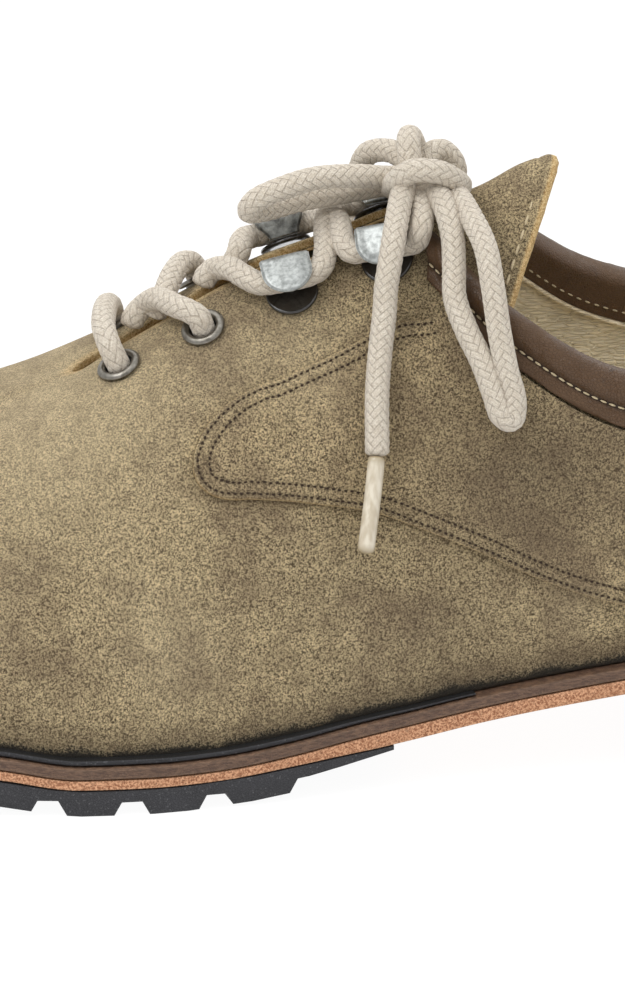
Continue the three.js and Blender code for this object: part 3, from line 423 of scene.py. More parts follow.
def node(tree, kind, inputs=None, family="ShaderNode", **settings):
    made = tree.nodes.new(family + kind)
    for key, value in settings.items():
        setattr(made, key, value)
    feed(tree, made.inputs, inputs or {})
    return made


def tint(r, g, b):
    """A colour given as 0 to 255 values of a photograph."""
    line = [c / 255 for c in (r, g, b)]
    line = [c / 12.92 if c <= 0.04045 else ((c + 0.055) / 1.055) ** 2.4 for c in line]
    return (*line, 1)


def finish(name, roughness, **sockets):
    made = bpy.data.materials.new(name)
    made.use_nodes = True
    shader = made.node_tree.nodes["Principled BSDF"]
    named = {key.replace("_", " "): value for key, value in sockets.items()}
    feed(made.node_tree, shader.inputs, {"Roughness": roughness, **named})
    return made, made.node_tree, shader


def mixed(tree, factor, a, b):
    """The second colour laid over the first, as far as the factor says."""
    made = node(tree, "Mix", data_type="RGBA", blend_type="MIX", clamp_factor=True)
    feed(tree, made.inputs, {0: factor, 6: a, 7: b})
    return made.outputs[2]


def maths(tree, kind, a, b=0.0, c=0.0, clamp=False):
    return node(tree, "Math", {0: a, 1: b, 2: c}, operation=kind, use_clamp=clamp).outputs[0]


def stained(tree, body, mask, share, colour):
    """The body with a share of a mask laid over it in another colour."""
    return mixed(tree, maths(tree, "MULTIPLY", mask, share), body, colour)


def band_of(tree, value, low, high, to_low=0.0, to_high=1.0):
    limits = {"From Min": low, "From Max": high, "To Min": to_low, "To Max": to_high, "Value": value}
    return node(tree, "MapRange", limits, interpolation_type="SMOOTHSTEP").outputs["Result"]


def mark(tree, name):
    return node(tree, "Attribute", attribute_name=name).outputs["Fac"]


def object_place(tree):
    return node(tree, "TexCoord").outputs["Object"]


def stretched(tree, scale):
    return node(tree, "Mapping", {"Vector": object_place(tree), "Scale": scale}).outputs[0]


def noise(tree, place_at, scale, detail=2.0, roughness=0.5, distortion=0.0, kind="FBM"):
    given = {"Vector": place_at, "Scale": scale, "Detail": detail, "Roughness": roughness, "Distortion": distortion}
    return node(tree, "TexNoise", given, noise_type=kind, normalize=True).outputs["Fac"]


def covered(tree, shader, colour, height, distance):
    """The colour of a finish, and its fine relief."""
    bump = node(tree, "Bump", {"Height": height, "Distance": distance, "Strength": 1.0})
    feed(tree, shader.inputs, {"Base Color": colour, "Normal": bump.outputs["Normal"]})


# %% [markdown]
# ## Effects that several finishes share
# Nap, grain and grime come back on many pieces. Each is a small node group with named inputs, made once, so a
# finish only says how large and how strong its own nap or grain is. A group hands out masks and heights; the
# shader itself stays in the material.
# %% Group helper
def group(name, inputs, outputs, kind_of_tree="ShaderNodeTree"):
    tree = bpy.data.node_groups.new(name, kind_of_tree)
    for key, kind, value in inputs:
        socket = tree.interface.new_socket(key, in_out="INPUT", socket_type="NodeSocket" + kind)
        if value is not None:
            socket.default_value = value
    for key, kind in outputs:
        tree.interface.new_socket(key, in_out="OUTPUT", socket_type="NodeSocket" + kind)
    return tree, tree.nodes.new("NodeGroupInput").outputs, tree.nodes.new("NodeGroupOutput").inputs


def use(tree, group_tree, inputs):
    return node(tree, "Group", inputs, node_tree=group_tree).outputs


# %% Nap: short curled fibres
NAP, given, out = group(
    "nap", [("Place", "Vector", None), ("Fibre", "Float", 0.0007), ("Clump", "Float", 0.006)],
    [("Light", "Float"), ("Clumps", "Float"), ("Height", "Float")],
)
per_fibre = maths(NAP, "DIVIDE", 1.0, given["Fibre"])
per_clump = maths(NAP, "DIVIDE", 1.0, given["Clump"])
curl = node(NAP, "TexNoise", {"Vector": given["Place"], "Scale": per_fibre, "Detail": 1.0})
push = node(NAP, "VectorMath", {0: curl.outputs["Color"], 1: (0.5, 0.5, 0.5)}, operation="SUBTRACT")
sway = maths(NAP, "MULTIPLY", given["Fibre"], 1.5)
shift = node(NAP, "VectorMath", {0: push.outputs[0], "Scale": sway}, operation="SCALE")
bent = node(NAP, "VectorMath", {0: given["Place"], 1: shift.outputs[0]}, operation="ADD").outputs[0]
coarse = noise(NAP, bent, per_fibre, 3.0, 0.62)
fine = noise(NAP, bent, maths(NAP, "MULTIPLY", per_fibre, 2.7), 2.0, 0.6)
clumps = noise(NAP, given["Place"], per_clump, 3.0, 0.6)
fibres = maths(NAP, "MULTIPLY_ADD", fine, 0.4, maths(NAP, "MULTIPLY", coarse, 0.6))
light = band_of(NAP, fibres, 0.43, 0.57)
feed(NAP, out, {"Light": light, "Clumps": band_of(NAP, clumps, 0.3, 0.7), "Height": fibres})

# %% Grain: fine cells and soft crinkles of smooth leather
GRAIN, given, out = group(
    "grain", [("Place", "Vector", None), ("Cell", "Float", 0.0007), ("Crinkle", "Float", 0.004)],
    [("Folds", "Float"), ("Height", "Float")],
)
cells = node(
    GRAIN, "TexVoronoi", {"Vector": given["Place"], "Scale": maths(GRAIN, "DIVIDE", 1.0, given["Cell"])},
    feature="DISTANCE_TO_EDGE",
).outputs["Distance"]
pores = band_of(GRAIN, cells, 0.02, 0.16)
per_crinkle = maths(GRAIN, "DIVIDE", 1.0, given["Crinkle"])
folds = noise(GRAIN, given["Place"], per_crinkle, 3.0, 0.55, 0.8, "RIDGED_MULTIFRACTAL")
relief_height = maths(GRAIN, "MULTIPLY_ADD", pores, 0.35, maths(GRAIN, "MULTIPLY", folds, 0.65))
feed(GRAIN, out, {"Folds": band_of(GRAIN, folds, 0.25, 0.75), "Height": relief_height})

# %% Grime: dust and rubbed places
GRIME, given, out = group(
    "grime", [("Place", "Vector", None), ("Spot", "Float", 0.012)], [("Dust", "Float"), ("Specks", "Float")],
)
per_spot = maths(GRIME, "DIVIDE", 1.0, given["Spot"])
dust = noise(GRIME, given["Place"], per_spot, 5.0, 0.65)
specks = noise(GRIME, given["Place"], maths(GRIME, "MULTIPLY", per_spot, 14.0), 2.0, 0.5)
feed(GRIME, out, {"Dust": band_of(GRIME, dust, 0.42, 0.68), "Specks": band_of(GRIME, specks, 0.6, 0.72)})


def grime_of(tree, spot):
    return use(tree, GRIME, {"Place": object_place(tree), "Spot": spot})


def grain_of(tree, place_at, cell, crinkle):
    return use(tree, GRAIN, {"Place": place_at, "Cell": cell, "Crinkle": crinkle})


print("groups", [tree.name for tree in (NAP, GRAIN, GRIME)])

# %% [markdown]
# ## The lace
# The lace is a round braid of soft yarn, 4.5 mm thick. It runs through two pairs of eyelets, round two pairs
# of hooks and ends in a bow: one loop falls over the outer side, one lies towards the toe, and an end hangs on
# each side. A tube that follows the given route could take a braid from bump alone, but the yarn's
# chevrons show at the edge of the lace, so each tube's own surface rises and falls with the braid.
# %% Yarn finish
BRAID_TURNS = 8
BRAID_PITCH = 1.8
YARN, tree, shader = finish("lace_yarn", 0.95, Sheen_Weight=0.3, Sheen_Roughness=0.6)
at = object_place(tree)
fuzz = use(tree, NAP, {"Place": at, "Fibre": 0.00035, "Clump": 0.004})
angle = maths(tree, "ARCTAN2", mark(tree, "round_y"), mark(tree, "round_x"))
strand = maths(tree, "MULTIPLY", angle, BRAID_TURNS / (2 * math.pi))
a = maths(tree, "MULTIPLY_ADD", mark(tree, "run"), 1 / BRAID_PITCH, strand)
b = maths(tree, "MULTIPLY_ADD", mark(tree, "run"), -1 / BRAID_PITCH, strand)
part_a, part_b = maths(tree, "FRACT", a), maths(tree, "FRACT", b)
whole = maths(tree, "ADD", maths(tree, "FLOOR", a), maths(tree, "FLOOR", b))
row = maths(tree, "FLOORED_MODULO", whole, 4.0)
over = maths(tree, "LESS_THAN", row, 1.5)
across = maths(tree, "MULTIPLY_ADD", over, maths(tree, "SUBTRACT", part_a, part_b), part_b)
other = maths(tree, "SUBTRACT", maths(tree, "ADD", part_a, part_b), across)
half = maths(tree, "SUBTRACT", row, maths(tree, "MULTIPLY_ADD", over, -2.0, 2.0))
ahead = maths(tree, "MULTIPLY", maths(tree, "ADD", half, other), 0.5)
from_side = maths(tree, "ABSOLUTE", maths(tree, "MULTIPLY_ADD", across, 2.0, -1.0))
from_end = maths(tree, "ABSOLUTE", maths(tree, "MULTIPLY_ADD", ahead, 2.0, -1.0))
gap = maths(tree, "MAXIMUM", band_of(tree, from_side, 0.74, 1.0), band_of(tree, from_end, 0.86, 1.0))
plies = maths(tree, "SINE", maths(tree, "MULTIPLY", across, 6 * math.pi))
yarn = mixed(tree, fuzz["Light"], tint(216, 203, 183), tint(246, 237, 221))
# Thin darker lines across each strand: painted shade between the plies.
yarn = mixed(tree, maths(tree, "MULTIPLY_ADD", plies, 0.1, 0.1, clamp=True), yarn, tint(170, 150, 126))
yarn = stained(tree, yarn, fuzz["Clumps"], 0.16, tint(196, 178, 156))
# Darker in the crevices between the braided strands: painted shade.
crevice_shade = maths(tree, "MULTIPLY", gap, maths(tree, "MULTIPLY_ADD", fuzz["Light"], -0.25, 0.5))
yarn = mixed(tree, crevice_shade, yarn, tint(140, 118, 92))
height = maths(tree, "MULTIPLY_ADD", gap, -0.35, fuzz["Height"])
covered(tree, shader, yarn, height, 0.0005)

CLEAR, tree, shader = finish("aglet_plastic", 0.14, Coat_Weight=0.6, Coat_Roughness=0.08)
streaks = band_of(tree, noise(tree, stretched(tree, (1, 1, 0.18)), 900, 2.0), 0.3, 0.7)
core = mixed(tree, streaks, tint(196, 183, 160), tint(222, 213, 194))
feed(tree, shader.inputs, {"Base Color": mixed(tree, mark(tree, "crest"), tint(166, 150, 120), core)})
print("yarn and aglet finishes")

# %% Routes
LACE_ROUTES = {
    "bar": [
        (-47.17, -14.07, 75.42), (-48.37, -13.57, 78.02), (-49.27, -9.47, 80.42), (-48.97, -3.97, 81.52),
        (-48.26, 1.5, 81.63), (-47.36, 5.6, 80.43), (-46.66, 7.3, 77.93),
    ],
    "to_near_eyelet": [
        (-41.56, -2.8, 82.63), (-38.99, -6.01, 84.94), (-35.99, -11.21, 84.94), (-33.59, -14.01, 84.64),
        (-31.79, -14.81, 83.54), (-31.39, -14.41, 82.34),
    ],
    "to_far_eyelet": [
        (-37.99, -4.21, 84.44), (-35.77, 1.03, 87.68), (-33.37, 5.83, 88.58), (-31.57, 7.93, 87.48),
        (-30.97, 8.23, 85.78),
    ],
    "near_hook_first": [
        (-28.47, -2.97, 89.48), (-25.46, -7.02, 90.72), (-23.16, -10.82, 90.22), (-20.66, -12.92, 89.52),
        (-17.86, -13.32, 89.72), (-14.96, -13.32, 90.32), (-12.06, -13.62, 90.92), (-9.16, -12.92, 92.22),
        (-7.86, -9.02, 94.82), (-7.61, -4, 96.96), (-6.96, 1.03, 98.17), (-5.7, 6, 98.46),
        (-3.1, 9.2, 98.06), (-0.2, 9.9, 98.46), (2.7, 10.6, 98.86), (5.7, 11.3, 99.16),
        (8.1, 11.4, 99.86), (9.3, 10.3, 102.96), (10.6, 6.8, 104.96),
    ],
    "far_hook_first": [
        (-23.66, -0.97, 92.07), (-22.56, 4.03, 93.17), (-20.76, 7.23, 92.97), (-17.96, 7.93, 93.37),
        (-15.06, 8.23, 94.07), (-12.16, 8.73, 94.77), (-8.86, 7.73, 95.97), (-6.76, 4.03, 97.57),
        (-5.2, -1, 98.16), (-4.91, -6.5, 97.76), (-4.61, -10.6, 96.16), (-3.11, -12.9, 95.16),
        (-0.41, -13.1, 95.56), (2.49, -13.6, 96.16), (5.39, -14.2, 96.66), (8.39, -14.8, 97.46),
        (9.19, -15.6, 99.76), (9.79, -13.6, 101.76), (9.99, -9.5, 103.76), (10.99, -3, 105.46),
    ],
    "knot_band": [
        (5.4, 1.5, 103.4), (5.0, -4.2, 105.6), (5.9, -9.3, 107.9), (7.8, -11.2, 109.9), (10.4, -11.8, 110.2),
        (13.2, -11.2, 109.6), (16.1, -9.0, 107.5), (17.6, -3.8, 105.0), (16.2, 2.0, 103.4),
    ],
    "knot_top": [
        (8.39, -3.6, 108.36), (8.19, -1, 112.16), (8.59, 2.4, 113.06), (9.59, 5.4, 111.16),
        (10.59, 6.6, 107.36), (11.99, 5, 104.96),
    ],
    "knot_back": [
        (10.59, 2.5, 105.96), (12.79, 5.2, 108.96), (15.39, 7.0, 108.86), (17.39, 7.6, 106.36), (17.79, 7.4, 103.36),
    ],
    "toe_loop": [
        (8.99, -2, 106.56), (4.09, -2.6, 106.56), (-2.01, -6, 107.86), (-10.01, -8.2, 108.06),
        (-16.61, -9.2, 106.36), (-20.81, -8.8, 104.26), (-21.91, -6.6, 101.66), (-18.61, -4.0, 101.26),
        (-12.21, -2.2, 102.46), (-5.01, -0.4, 103.16), (1.49, 1.4, 103.76), (7.99, 2.4, 104.56),
    ],
    "hanging_loop": [
        (11.19, -1.5, 105.46), (12.49, -8.2, 105.66), (13.89, -15, 103.66), (14.89, -19.4, 99.36),
        (14.89, -22.8, 94.36), (14.79, -26.2, 89.56), (16.59, -29.8, 84.56), (19.19, -33.3, 79.36),
        (21.19, -36, 73.96), (22.59, -37.4, 70.16), (24.29, -37.6, 69.36), (24.99, -36.6, 72.36),
        (23.59, -34.8, 78.36), (22.39, -32.4, 85.26), (21.49, -29.4, 92.46), (20.49, -25, 98.76),
        (18.39, -17.6, 102.76), (16.69, -10.5, 104.66), (14.79, -2.5, 104.96),
    ],
    "hanging_end": [
        (9.39, -1, 105.96), (7.39, -6.5, 106.46), (5.99, -11.6, 104.96), (4.89, -16.1, 102.26),
        (3.89, -20, 99.06), (2.99, -22.3, 94.96), (2.29, -23.4, 91.16), (1.89, -24.8, 86.76),
        (0.89, -27.8, 80.26), (0.19, -30.6, 74.76), (-0.11, -33, 69.96), (-0.21, -34.8, 65.96),
        (-0.31, -36.3, 62.36),
    ],
    "medial_end": [
        (9.4, 3, 107.36), (5.6, 8, 108.86), (1.8, 12, 107.56), (0.4, 16.4, 102.96), (0.8, 20.6, 96.56),
        (1.2, 24.4, 88.96), (1, 28, 80.76), (0.6, 31, 72.36), (-0.2, 33.4, 63.76),
    ],
}
AGLET_ROUTES = {
    "hanging_end": [(-0.4, -36.7, 62.9), (-1.11, -38.4, 56.96), (-2.11, -40.8, 50.56), (-2.91, -42.4, 45.56)],
    "medial_end": [(-0.2, 33.5, 63.6), (-0.6, 34.6, 57.96), (-1, 35.6, 51.96), (-1.4, 36.4, 46.56)],
}
AGLET = 3.2
SPAN_STEPS = 40


def spline(points):
    """The smooth curve through points, with even parameter steps in each span."""
    p = np.asarray(points, float)
    p = np.vstack([2 * p[0] - p[1], p, 2 * p[-1] - p[-2]])
    gap = np.maximum(np.linalg.norm(np.diff(p, axis=0), axis=1) ** 0.5, 1e-4)
    line = []
    for i in range(1, len(p) - 2):
        t0, t1, t2 = gap[i - 1], gap[i], gap[i + 1]
        a, b, c, d = p[i - 1 : i + 3]
        m1 = ((b - a) / t0 - (c - a) / (t0 + t1) + (c - b) / t1) * t1
        m2 = ((c - b) / t1 - (d - b) / (t1 + t2) + (d - c) / t2) * t1
        t = np.linspace(0, 1, SPAN_STEPS, endpoint=False)[:, None]
        line.append(b + t * m1 + t * t * (3 * (c - b) - 2 * m1 - m2) + t**3 * (2 * (b - c) + m1 + m2))
    return np.vstack(line + [p[-2][None]])


def run_along(line):
    """How far each point lies along a line."""
    return np.concatenate([[0], np.cumsum(np.linalg.norm(np.diff(line, axis=0), axis=1))])


def evenly(line, step):
    run = run_along(line)
    count = max(2, int(round(run[-1] / step)) + 1)
    want = np.linspace(0, run[-1], count)
    return np.column_stack([np.interp(want, run, line[:, k]) for k in range(3)]), want


def frames(line):
    """Along a line: its direction and two sides, carried on without twist."""
    run = unit(np.gradient(line, axis=0))
    side = np.zeros_like(line)
    start = np.cross(run[0], (0, 0, 1))
    if np.linalg.norm(start) < 1e-3:
        start = np.cross(run[0], (0, 1, 0))
    for i, way in enumerate(run):
        start = start - way * start.dot(way)
        start = start / np.linalg.norm(start)
        side[i] = start
    return run, side, np.cross(run, side)


# %% Braided tubes
BRAID_DEPTH = 0.12
BRAID_SWELL = 0.04
CORD_SIDES = 48
CORD_STEP = 0.34
PATH_STEP = 4


def round_off(away, radius):
    """A quarter circle: 0 at an edge and 1 from one radius inside it."""
    return np.sqrt(np.clip(1 - (1 - np.minimum(away, radius) / radius) ** 2, 0, 1))


def braid(turn, run):
    """Height of the braid, 0 in a crevice and 1 on a crest, round and along the lace."""
    a = BRAID_TURNS * turn + run / BRAID_PITCH
    b = BRAID_TURNS * turn - run / BRAID_PITCH
    row = (np.floor(a) + np.floor(b)) % 4
    over = row < 1.5
    across = np.where(over, a % 1, b % 1)
    ahead = (np.where(over, row, row - 2) + np.where(over, b % 1, a % 1)) / 2
    return np.sin(math.pi * across) ** 0.6 * np.clip(np.sin(math.pi * ahead), 0, 1) ** 0.7


def tube(route, diameter=LACE, plain=False, step=CORD_STEP, sides=CORD_SIDES):
    line, run = evenly(spline(route), step)
    _, side, up = frames(line)
    radius = diameter / 2
    near, far = round_off(run, radius * 0.5), round_off(run[-1] - run, radius * 0.5)
    close = np.clip(np.minimum(near, far), 0.12, 1)
    turn = np.arange(sides) / sides
    crest = np.ones((len(line), sides)) if plain else braid(turn[None, :], run[:, None])
    reach = radius - (0 if plain else BRAID_DEPTH) * (1 - crest) + (0 if plain else BRAID_SWELL)
    reach = reach * close[:, None]
    angle = 2 * math.pi * turn
    rings = (
        line[:, None]
        + reach[..., None] * np.cos(angle)[None, :, None] * side[:, None]
        + reach[..., None] * np.sin(angle)[None, :, None] * up[:, None]
    )
    marks = {
        "round_x": np.cos(angle) + 0 * run[:, None], "round_y": np.sin(angle) + 0 * run[:, None],
        "run": run[:, None] + 0 * angle,
    }
    marks = {key: value.ravel() for key, value in marks.items()}
    return loft(rings), marks, run[-1], evenly(spline(route), PATH_STEP)[0]


def cord_piece(name, routes, node_name, extra=None):
    made = [tube(route) for route in routes]
    parts = [m[:2] for m in made] + ([extra] if extra else [])
    marks = {key: np.concatenate([part[1][key] for part in parts]) for key in ("round_x", "round_y", "run")}
    obj = piece(name, joined(*[part[0] for part in parts]), YARN, [node_name], marks)
    return obj, made


# %% Free lengths of the bow
def free_cord(name, key, node_name):
    obj, made = cord_piece(name, [LACE_ROUTES[key]], node_name)


def aglet_piece(name, key, node_name):
    solid = tube(AGLET_ROUTES[key], AGLET, plain=True, step=0.5, sides=32)[0]
    first, last = (np.linalg.norm(solid[0] - np.array(AGLET_ROUTES[key][end]), axis=1) for end in (0, -1))
    ends = np.minimum(first, last)
    return piece(name, solid, CLEAR, [node_name], {"crest": smooth(1.4, 2.6, ends)})


aglet_lateral = aglet_piece("lace_tip_lateral", "hanging_end", "aglet_lateral")
aglet_medial = aglet_piece("lace_tip_medial", "medial_end", "aglet_medial")
free_cord("bow_end_lateral", "hanging_end", "lace_end_lateral")
free_cord("bow_end_medial", "medial_end", "lace_end_medial")
free_cord("bow_loop_lateral", "hanging_loop", "lace_loop_hanging")
free_cord("bow_loop_toe", "toe_loop", "lace_loop_toe")

# %% Crossings and knot
# Each crossing strand comes up between the facings, out of sight
RISES = {
    "to_near_eyelet": [(-44.0, -3.6, 78.6), (-43.3, -3.3, 80.8)],
    "to_far_eyelet": [(-39.6, -3.7, 80.6), (-38.9, -3.9, 82.6)],
    "near_hook_first": [(-30.6, -3.2, 86.2), (-29.8, -3.1, 88.2)],
    "far_hook_first": [(-25.4, -2.9, 88.4), (-24.6, -2.1, 90.4)],
}


FASTENINGS = [
    ("1", "eyelet", 10.36, 0.89), ("2", "eyelet", 9.24, 0.88), ("1", "hook", 8.36, 0.9), ("2", "hook", 7.28, 0.905),
]


def on_skin(g, v):
    """A turned frame on the skin: Z leaves the leather, X runs down from the throat."""
    out = outward(g, v)
    throat = bare(g + 0.1, v) - bare(g - 0.1, v)
    down = np.cross(throat / np.linalg.norm(throat), out)
    down = down / np.linalg.norm(down)
    if down.dot(bare(g, v + 0.01) - bare(g, v)) > 0:
        down = -down
    return np.column_stack([down, np.cross(out, down), out]), skin(g, v)


SIDES = {"lateral": lambda k: k, "medial": lambda k: RIBS - k}
FIXED = {
    f"{kind}_{name}_{side}": on_skin(rib(k), v)
    for name, kind, k, v in FASTENINGS
    for side, rib in SIDES.items()
}


def dive(key):
    turn, centre = FIXED[key]
    return [tuple(centre + turn @ np.array([0, 0, lift])) for lift in (-0.6, -3.4)]


cord_piece(
    "lace_bar_front", [dive("eyelet_1_lateral")[::-1] + LACE_ROUTES["bar"] + dive("eyelet_1_medial")], "lace_bar",
)
cord_piece(
    "lace_crossing_low",
    [
        RISES["to_near_eyelet"] + LACE_ROUTES["to_near_eyelet"] + dive("eyelet_2_lateral"),
        RISES["to_far_eyelet"] + LACE_ROUTES["to_far_eyelet"] + dive("eyelet_2_medial"),
    ],
    "lace_cross_eyelets",
)
cord_piece(
    "lace_crossing_high", [RISES[key] + LACE_ROUTES[key] for key in ("near_hook_first", "far_hook_first")],
    "lace_cross_hooks",
)
CORE_CENTRE = (11.4, -3.4, 106.0)
CORE_RADII = (5.8, 6.6, 3.4)
CORE_BRAID = 4
core_turn, core_rise = np.meshgrid(np.arange(40) / 40 * 2 * math.pi, np.linspace(-1.5, 1.5, 24))
core = np.stack([np.cos(core_rise) * np.cos(core_turn), np.cos(core_rise) * np.sin(core_turn), np.sin(core_rise)], -1)
core_crest = braid(core_turn / (2 * math.pi), core_rise * CORE_BRAID)
core = np.array(CORE_CENTRE) + core * (np.array(CORE_RADII) - 0.16 * (1 - core_crest[..., None]))
core_marks = {"round_x": np.cos(core_turn), "round_y": np.sin(core_turn), "run": core_rise * CORE_BRAID}
cord_piece(
    "lace_knot_centre", [LACE_ROUTES["knot_band"], LACE_ROUTES["knot_top"], LACE_ROUTES["knot_back"]], "lace_knot",
    extra=(loft(core), {key: value.ravel() for key, value in core_marks.items()}),
)

# %% [markdown]
# ## The suede upper
# The upper is rough-out cowhide: a thick hide with its flesh side out, so it shows a curly nap, lighter in
# some places and darker in others. One shell is lofted over the last. Creases at the ball and the ankle are laid
# on it one by one, because they come from one foot's walking and not from any rule, and the same creases move
# the lining and the quarters, so that the layers stay together.
# %% Creases and swells, in rib number, height share and millimetres
# (rib, v, rib, v, half width in mm, height in mm): a soft ridge above 0, a trough below 0
CREASES_LATERAL = [
    (9.3, 0.66, 9.9, 0.2, 4.5, -0.7), (8.9, 0.7, 9.3, 0.25, 4.0, 0.5), (10.2, 0.6, 10.9, 0.25, 4.0, 0.5),
    (10.9, 0.68, 11.4, 0.35, 4.5, -0.5), (6.1, 0.72, 7.4, 0.5, 4.5, -0.9), (5.9, 0.6, 6.9, 0.44, 3.5, 0.6),
    (6.4, 0.36, 7.4, 0.2, 4.5, -0.6), (3.6, 0.66, 4.8, 0.44, 5.5, -0.8), (4.6, 0.72, 5.3, 0.5, 4.0, 0.6),
    (2.2, 0.5, 3.4, 0.3, 6.0, -0.5),
]
CREASES_MEDIAL = [
    (9.2, 0.7, 9.8, 0.25, 4.5, -0.7), (10.4, 0.62, 11.0, 0.3, 4.5, -0.5), (8.6, 0.62, 9.0, 0.3, 4.0, 0.5),
    (5.8, 0.7, 7.0, 0.45, 5.0, -0.8), (3.4, 0.62, 4.6, 0.4, 5.5, -0.7), (2.0, 0.5, 3.2, 0.32, 6.0, -0.5),
]


def to_line(points, a, b):
    run = b - a
    t = np.clip(((points - a) @ run) / run.dot(run), 0, 1)
    return np.linalg.norm(points - (a + t[..., None] * run), axis=-1), t


def relief(g, v):
    """Height of the creases over the skin at a place, in millimetres."""
    points = skin(g, v)
    total = np.zeros(points.shape[:-1])
    for rows, rib in ((CREASES_LATERAL, SIDES["lateral"]), (CREASES_MEDIAL, SIDES["medial"])):
        for g0, v0, g1, v1, wide, high in rows:
            away, t = to_line(points, skin(rib(g0), v0), skin(rib(g1), v1))
            total += high * np.exp(-((away / wide) ** 2)) * (0.5 + 0.5 * np.sin(math.pi * t))
    slow = 0.22 * np.sin(points[..., 0] / 9 + 1.7 * np.sin(points[..., 2] / 11))
    slow += 0.16 * np.sin(points[..., 2] / 5.3 + points[..., 0] / 13 + 2)
    calm = smooth(0.0, 0.12, v) * smooth(1.0, 0.86, v)
    still = np.min([np.linalg.norm(points - centre, axis=-1) for _, centre in FIXED.values()], axis=0)
    return (total + slow) * calm * smooth(4, 9, still)


print("creases", len(CREASES_LATERAL) + len(CREASES_MEDIAL))

# %% [markdown]
# ### Suede finish
# Rough-out leather is never one brown. The hide is lighter towards the toe and darker towards the heel, with
# lighter and darker patches; the lowest millimetres go near black, partly with dressing and dirt and partly with
# painted shade in the crease above the rand; the tongue darkens under the knot and the sunk seams darken, both
# as painted shade; and each cut edge shows the raw yellow hide. The slow tones are soft marks at listed places,
# kept on the mesh as attributes, and the nap between them is noise at the size of real fibres.
# %% Slow tones of the hide
# (X, Z, radius) in mm and how much lighter or darker the hide is there
TONES = [
    (-61, 68, 15, 0.38), (-46, 76, 12, 0.3), (-29, 76, 8, 0.1), (-59, 34, 9, -0.22), (-26, 58, 6, -0.12),
    (-40, 33, 9, 0.16), (-9, 45, 9, -0.12), (5, 43, 5, 0.1), (4, 82, 8, 0.3), (-12, 82, 8, 0.25), (-8, 72, 9, 0.22),
    (-22, 80, 9, 0.2), (-37, 26, 9, 0.15), (38, 34, 9, 0.35), (9, 29, 9, -0.22), (17, 57, 9, -0.28),
    (35, 60, 14, -0.42), (26, 48, 9, -0.15), (33, 29, 9, 0.12), (66, 66, 12, -0.2), (12, 69, 9, -0.12),
    (-66, 19, 9, -0.35), (-52, 14, 10, -0.15), (34, 70, 5, 0.15), (-120, 40, 16, 0.2), (-100, 30, 10, -0.15),
    (70, 40, 14, -0.25), (100, 50, 18, -0.2), (120, 30, 12, 0.15), (88, 20, 9, 0.1),
]


def tone_of(points):
    x, z = points[..., 0], points[..., 2]
    tone = 0.42 * smooth(30, -80, x) - 0.22
    for at_x, at_z, radius, amount in TONES:
        tone = tone + amount * np.exp(-(((x - at_x) ** 2 + (z - at_z) ** 2) / radius**2))
    return tone


def suede(name, light, dark):
    made, tree, shader = finish(name, 0.96, Sheen_Weight=0.25, Sheen_Roughness=0.5, Sheen_Tint=tint(220, 200, 165))
    at = object_place(tree)
    nap = use(tree, NAP, {"Place": at, "Fibre": 0.0004, "Clump": 0.005})
    grime = grime_of(tree, 0.02)
    body = mixed(tree, nap["Light"], dark, light)
    body = stained(tree, body, nap["Clumps"], 0.2, tint(100, 80, 52))
    tone = mark(tree, "tone")
    # The tone mark makes the hide lighter or darker at listed patches and lighter towards the toe; on the tongue it
    # also carries painted shade under the knot.
    body = mixed(tree, maths(tree, "MULTIPLY", tone, 0.6, clamp=True), body, tint(214, 196, 160))
    body = mixed(tree, maths(tree, "MULTIPLY", tone, -0.8, clamp=True), body, tint(66, 50, 34))
    body = stained(tree, body, grime["Dust"], 0.42, tint(92, 72, 56))
    foot = maths(tree, "ADD", mark(tree, "foot"), maths(tree, "MULTIPLY", nap["Light"], 1.3))
    # Darker towards the bottom over some 9 mm, and near black in the lowest 2 mm: dressing and dirt there, and
    # painted shade in the crease above the rand.
    body = mixed(tree, band_of(tree, foot, 9.0, 1.5, 0.0, 0.5), body, tint(78, 62, 44))
    body = mixed(tree, band_of(tree, foot, 2.4, 1.3), body, tint(20, 18, 17))
    # Darker along the groove mark of sunk stitch rows and seams: painted shade in the grooves.
    body = stained(tree, body, mark(tree, "groove"), 0.2, tint(52, 40, 26))
    hide = mixed(tree, nap["Light"], tint(200, 156, 92), tint(255, 226, 168))
    body = mixed(tree, mark(tree, "raw"), body, hide)
    covered(tree, shader, body, nap["Height"], 0.0009)
    return made


SUEDE = suede("suede_upper", tint(234, 211, 164), tint(66, 50, 28))
SUEDE_QUARTER = suede("suede_quarter", tint(231, 207, 160), tint(62, 46, 26))


def lining(name, stretch, crinkle, folds, depth):
    made, tree, shader = finish(name, 0.62, Coat_Weight=0.05, Coat_Roughness=0.4)
    grain = grain_of(tree, stretched(tree, stretch), 0.0007, crinkle)
    grime = grime_of(tree, 0.014)
    body = mixed(tree, grain["Folds"], tint(252, 239, 209), folds)
    body = stained(tree, body, grime["Dust"], 0.3, tint(222, 204, 168))
    body = mixed(tree, mark(tree, "raw"), body, tint(226, 192, 136))
    covered(tree, shader, body, grain["Height"], depth)
    return made


LINING = lining("lining", (0.25, 0.25, 1.15), 0.0012, tint(206, 188, 152), 0.0007)
INSOLE_LEATHER = lining("insole_leather", (1, 1, 1), 0.005, tint(226, 208, 172), 0.0003)
print("suede and lining finishes")

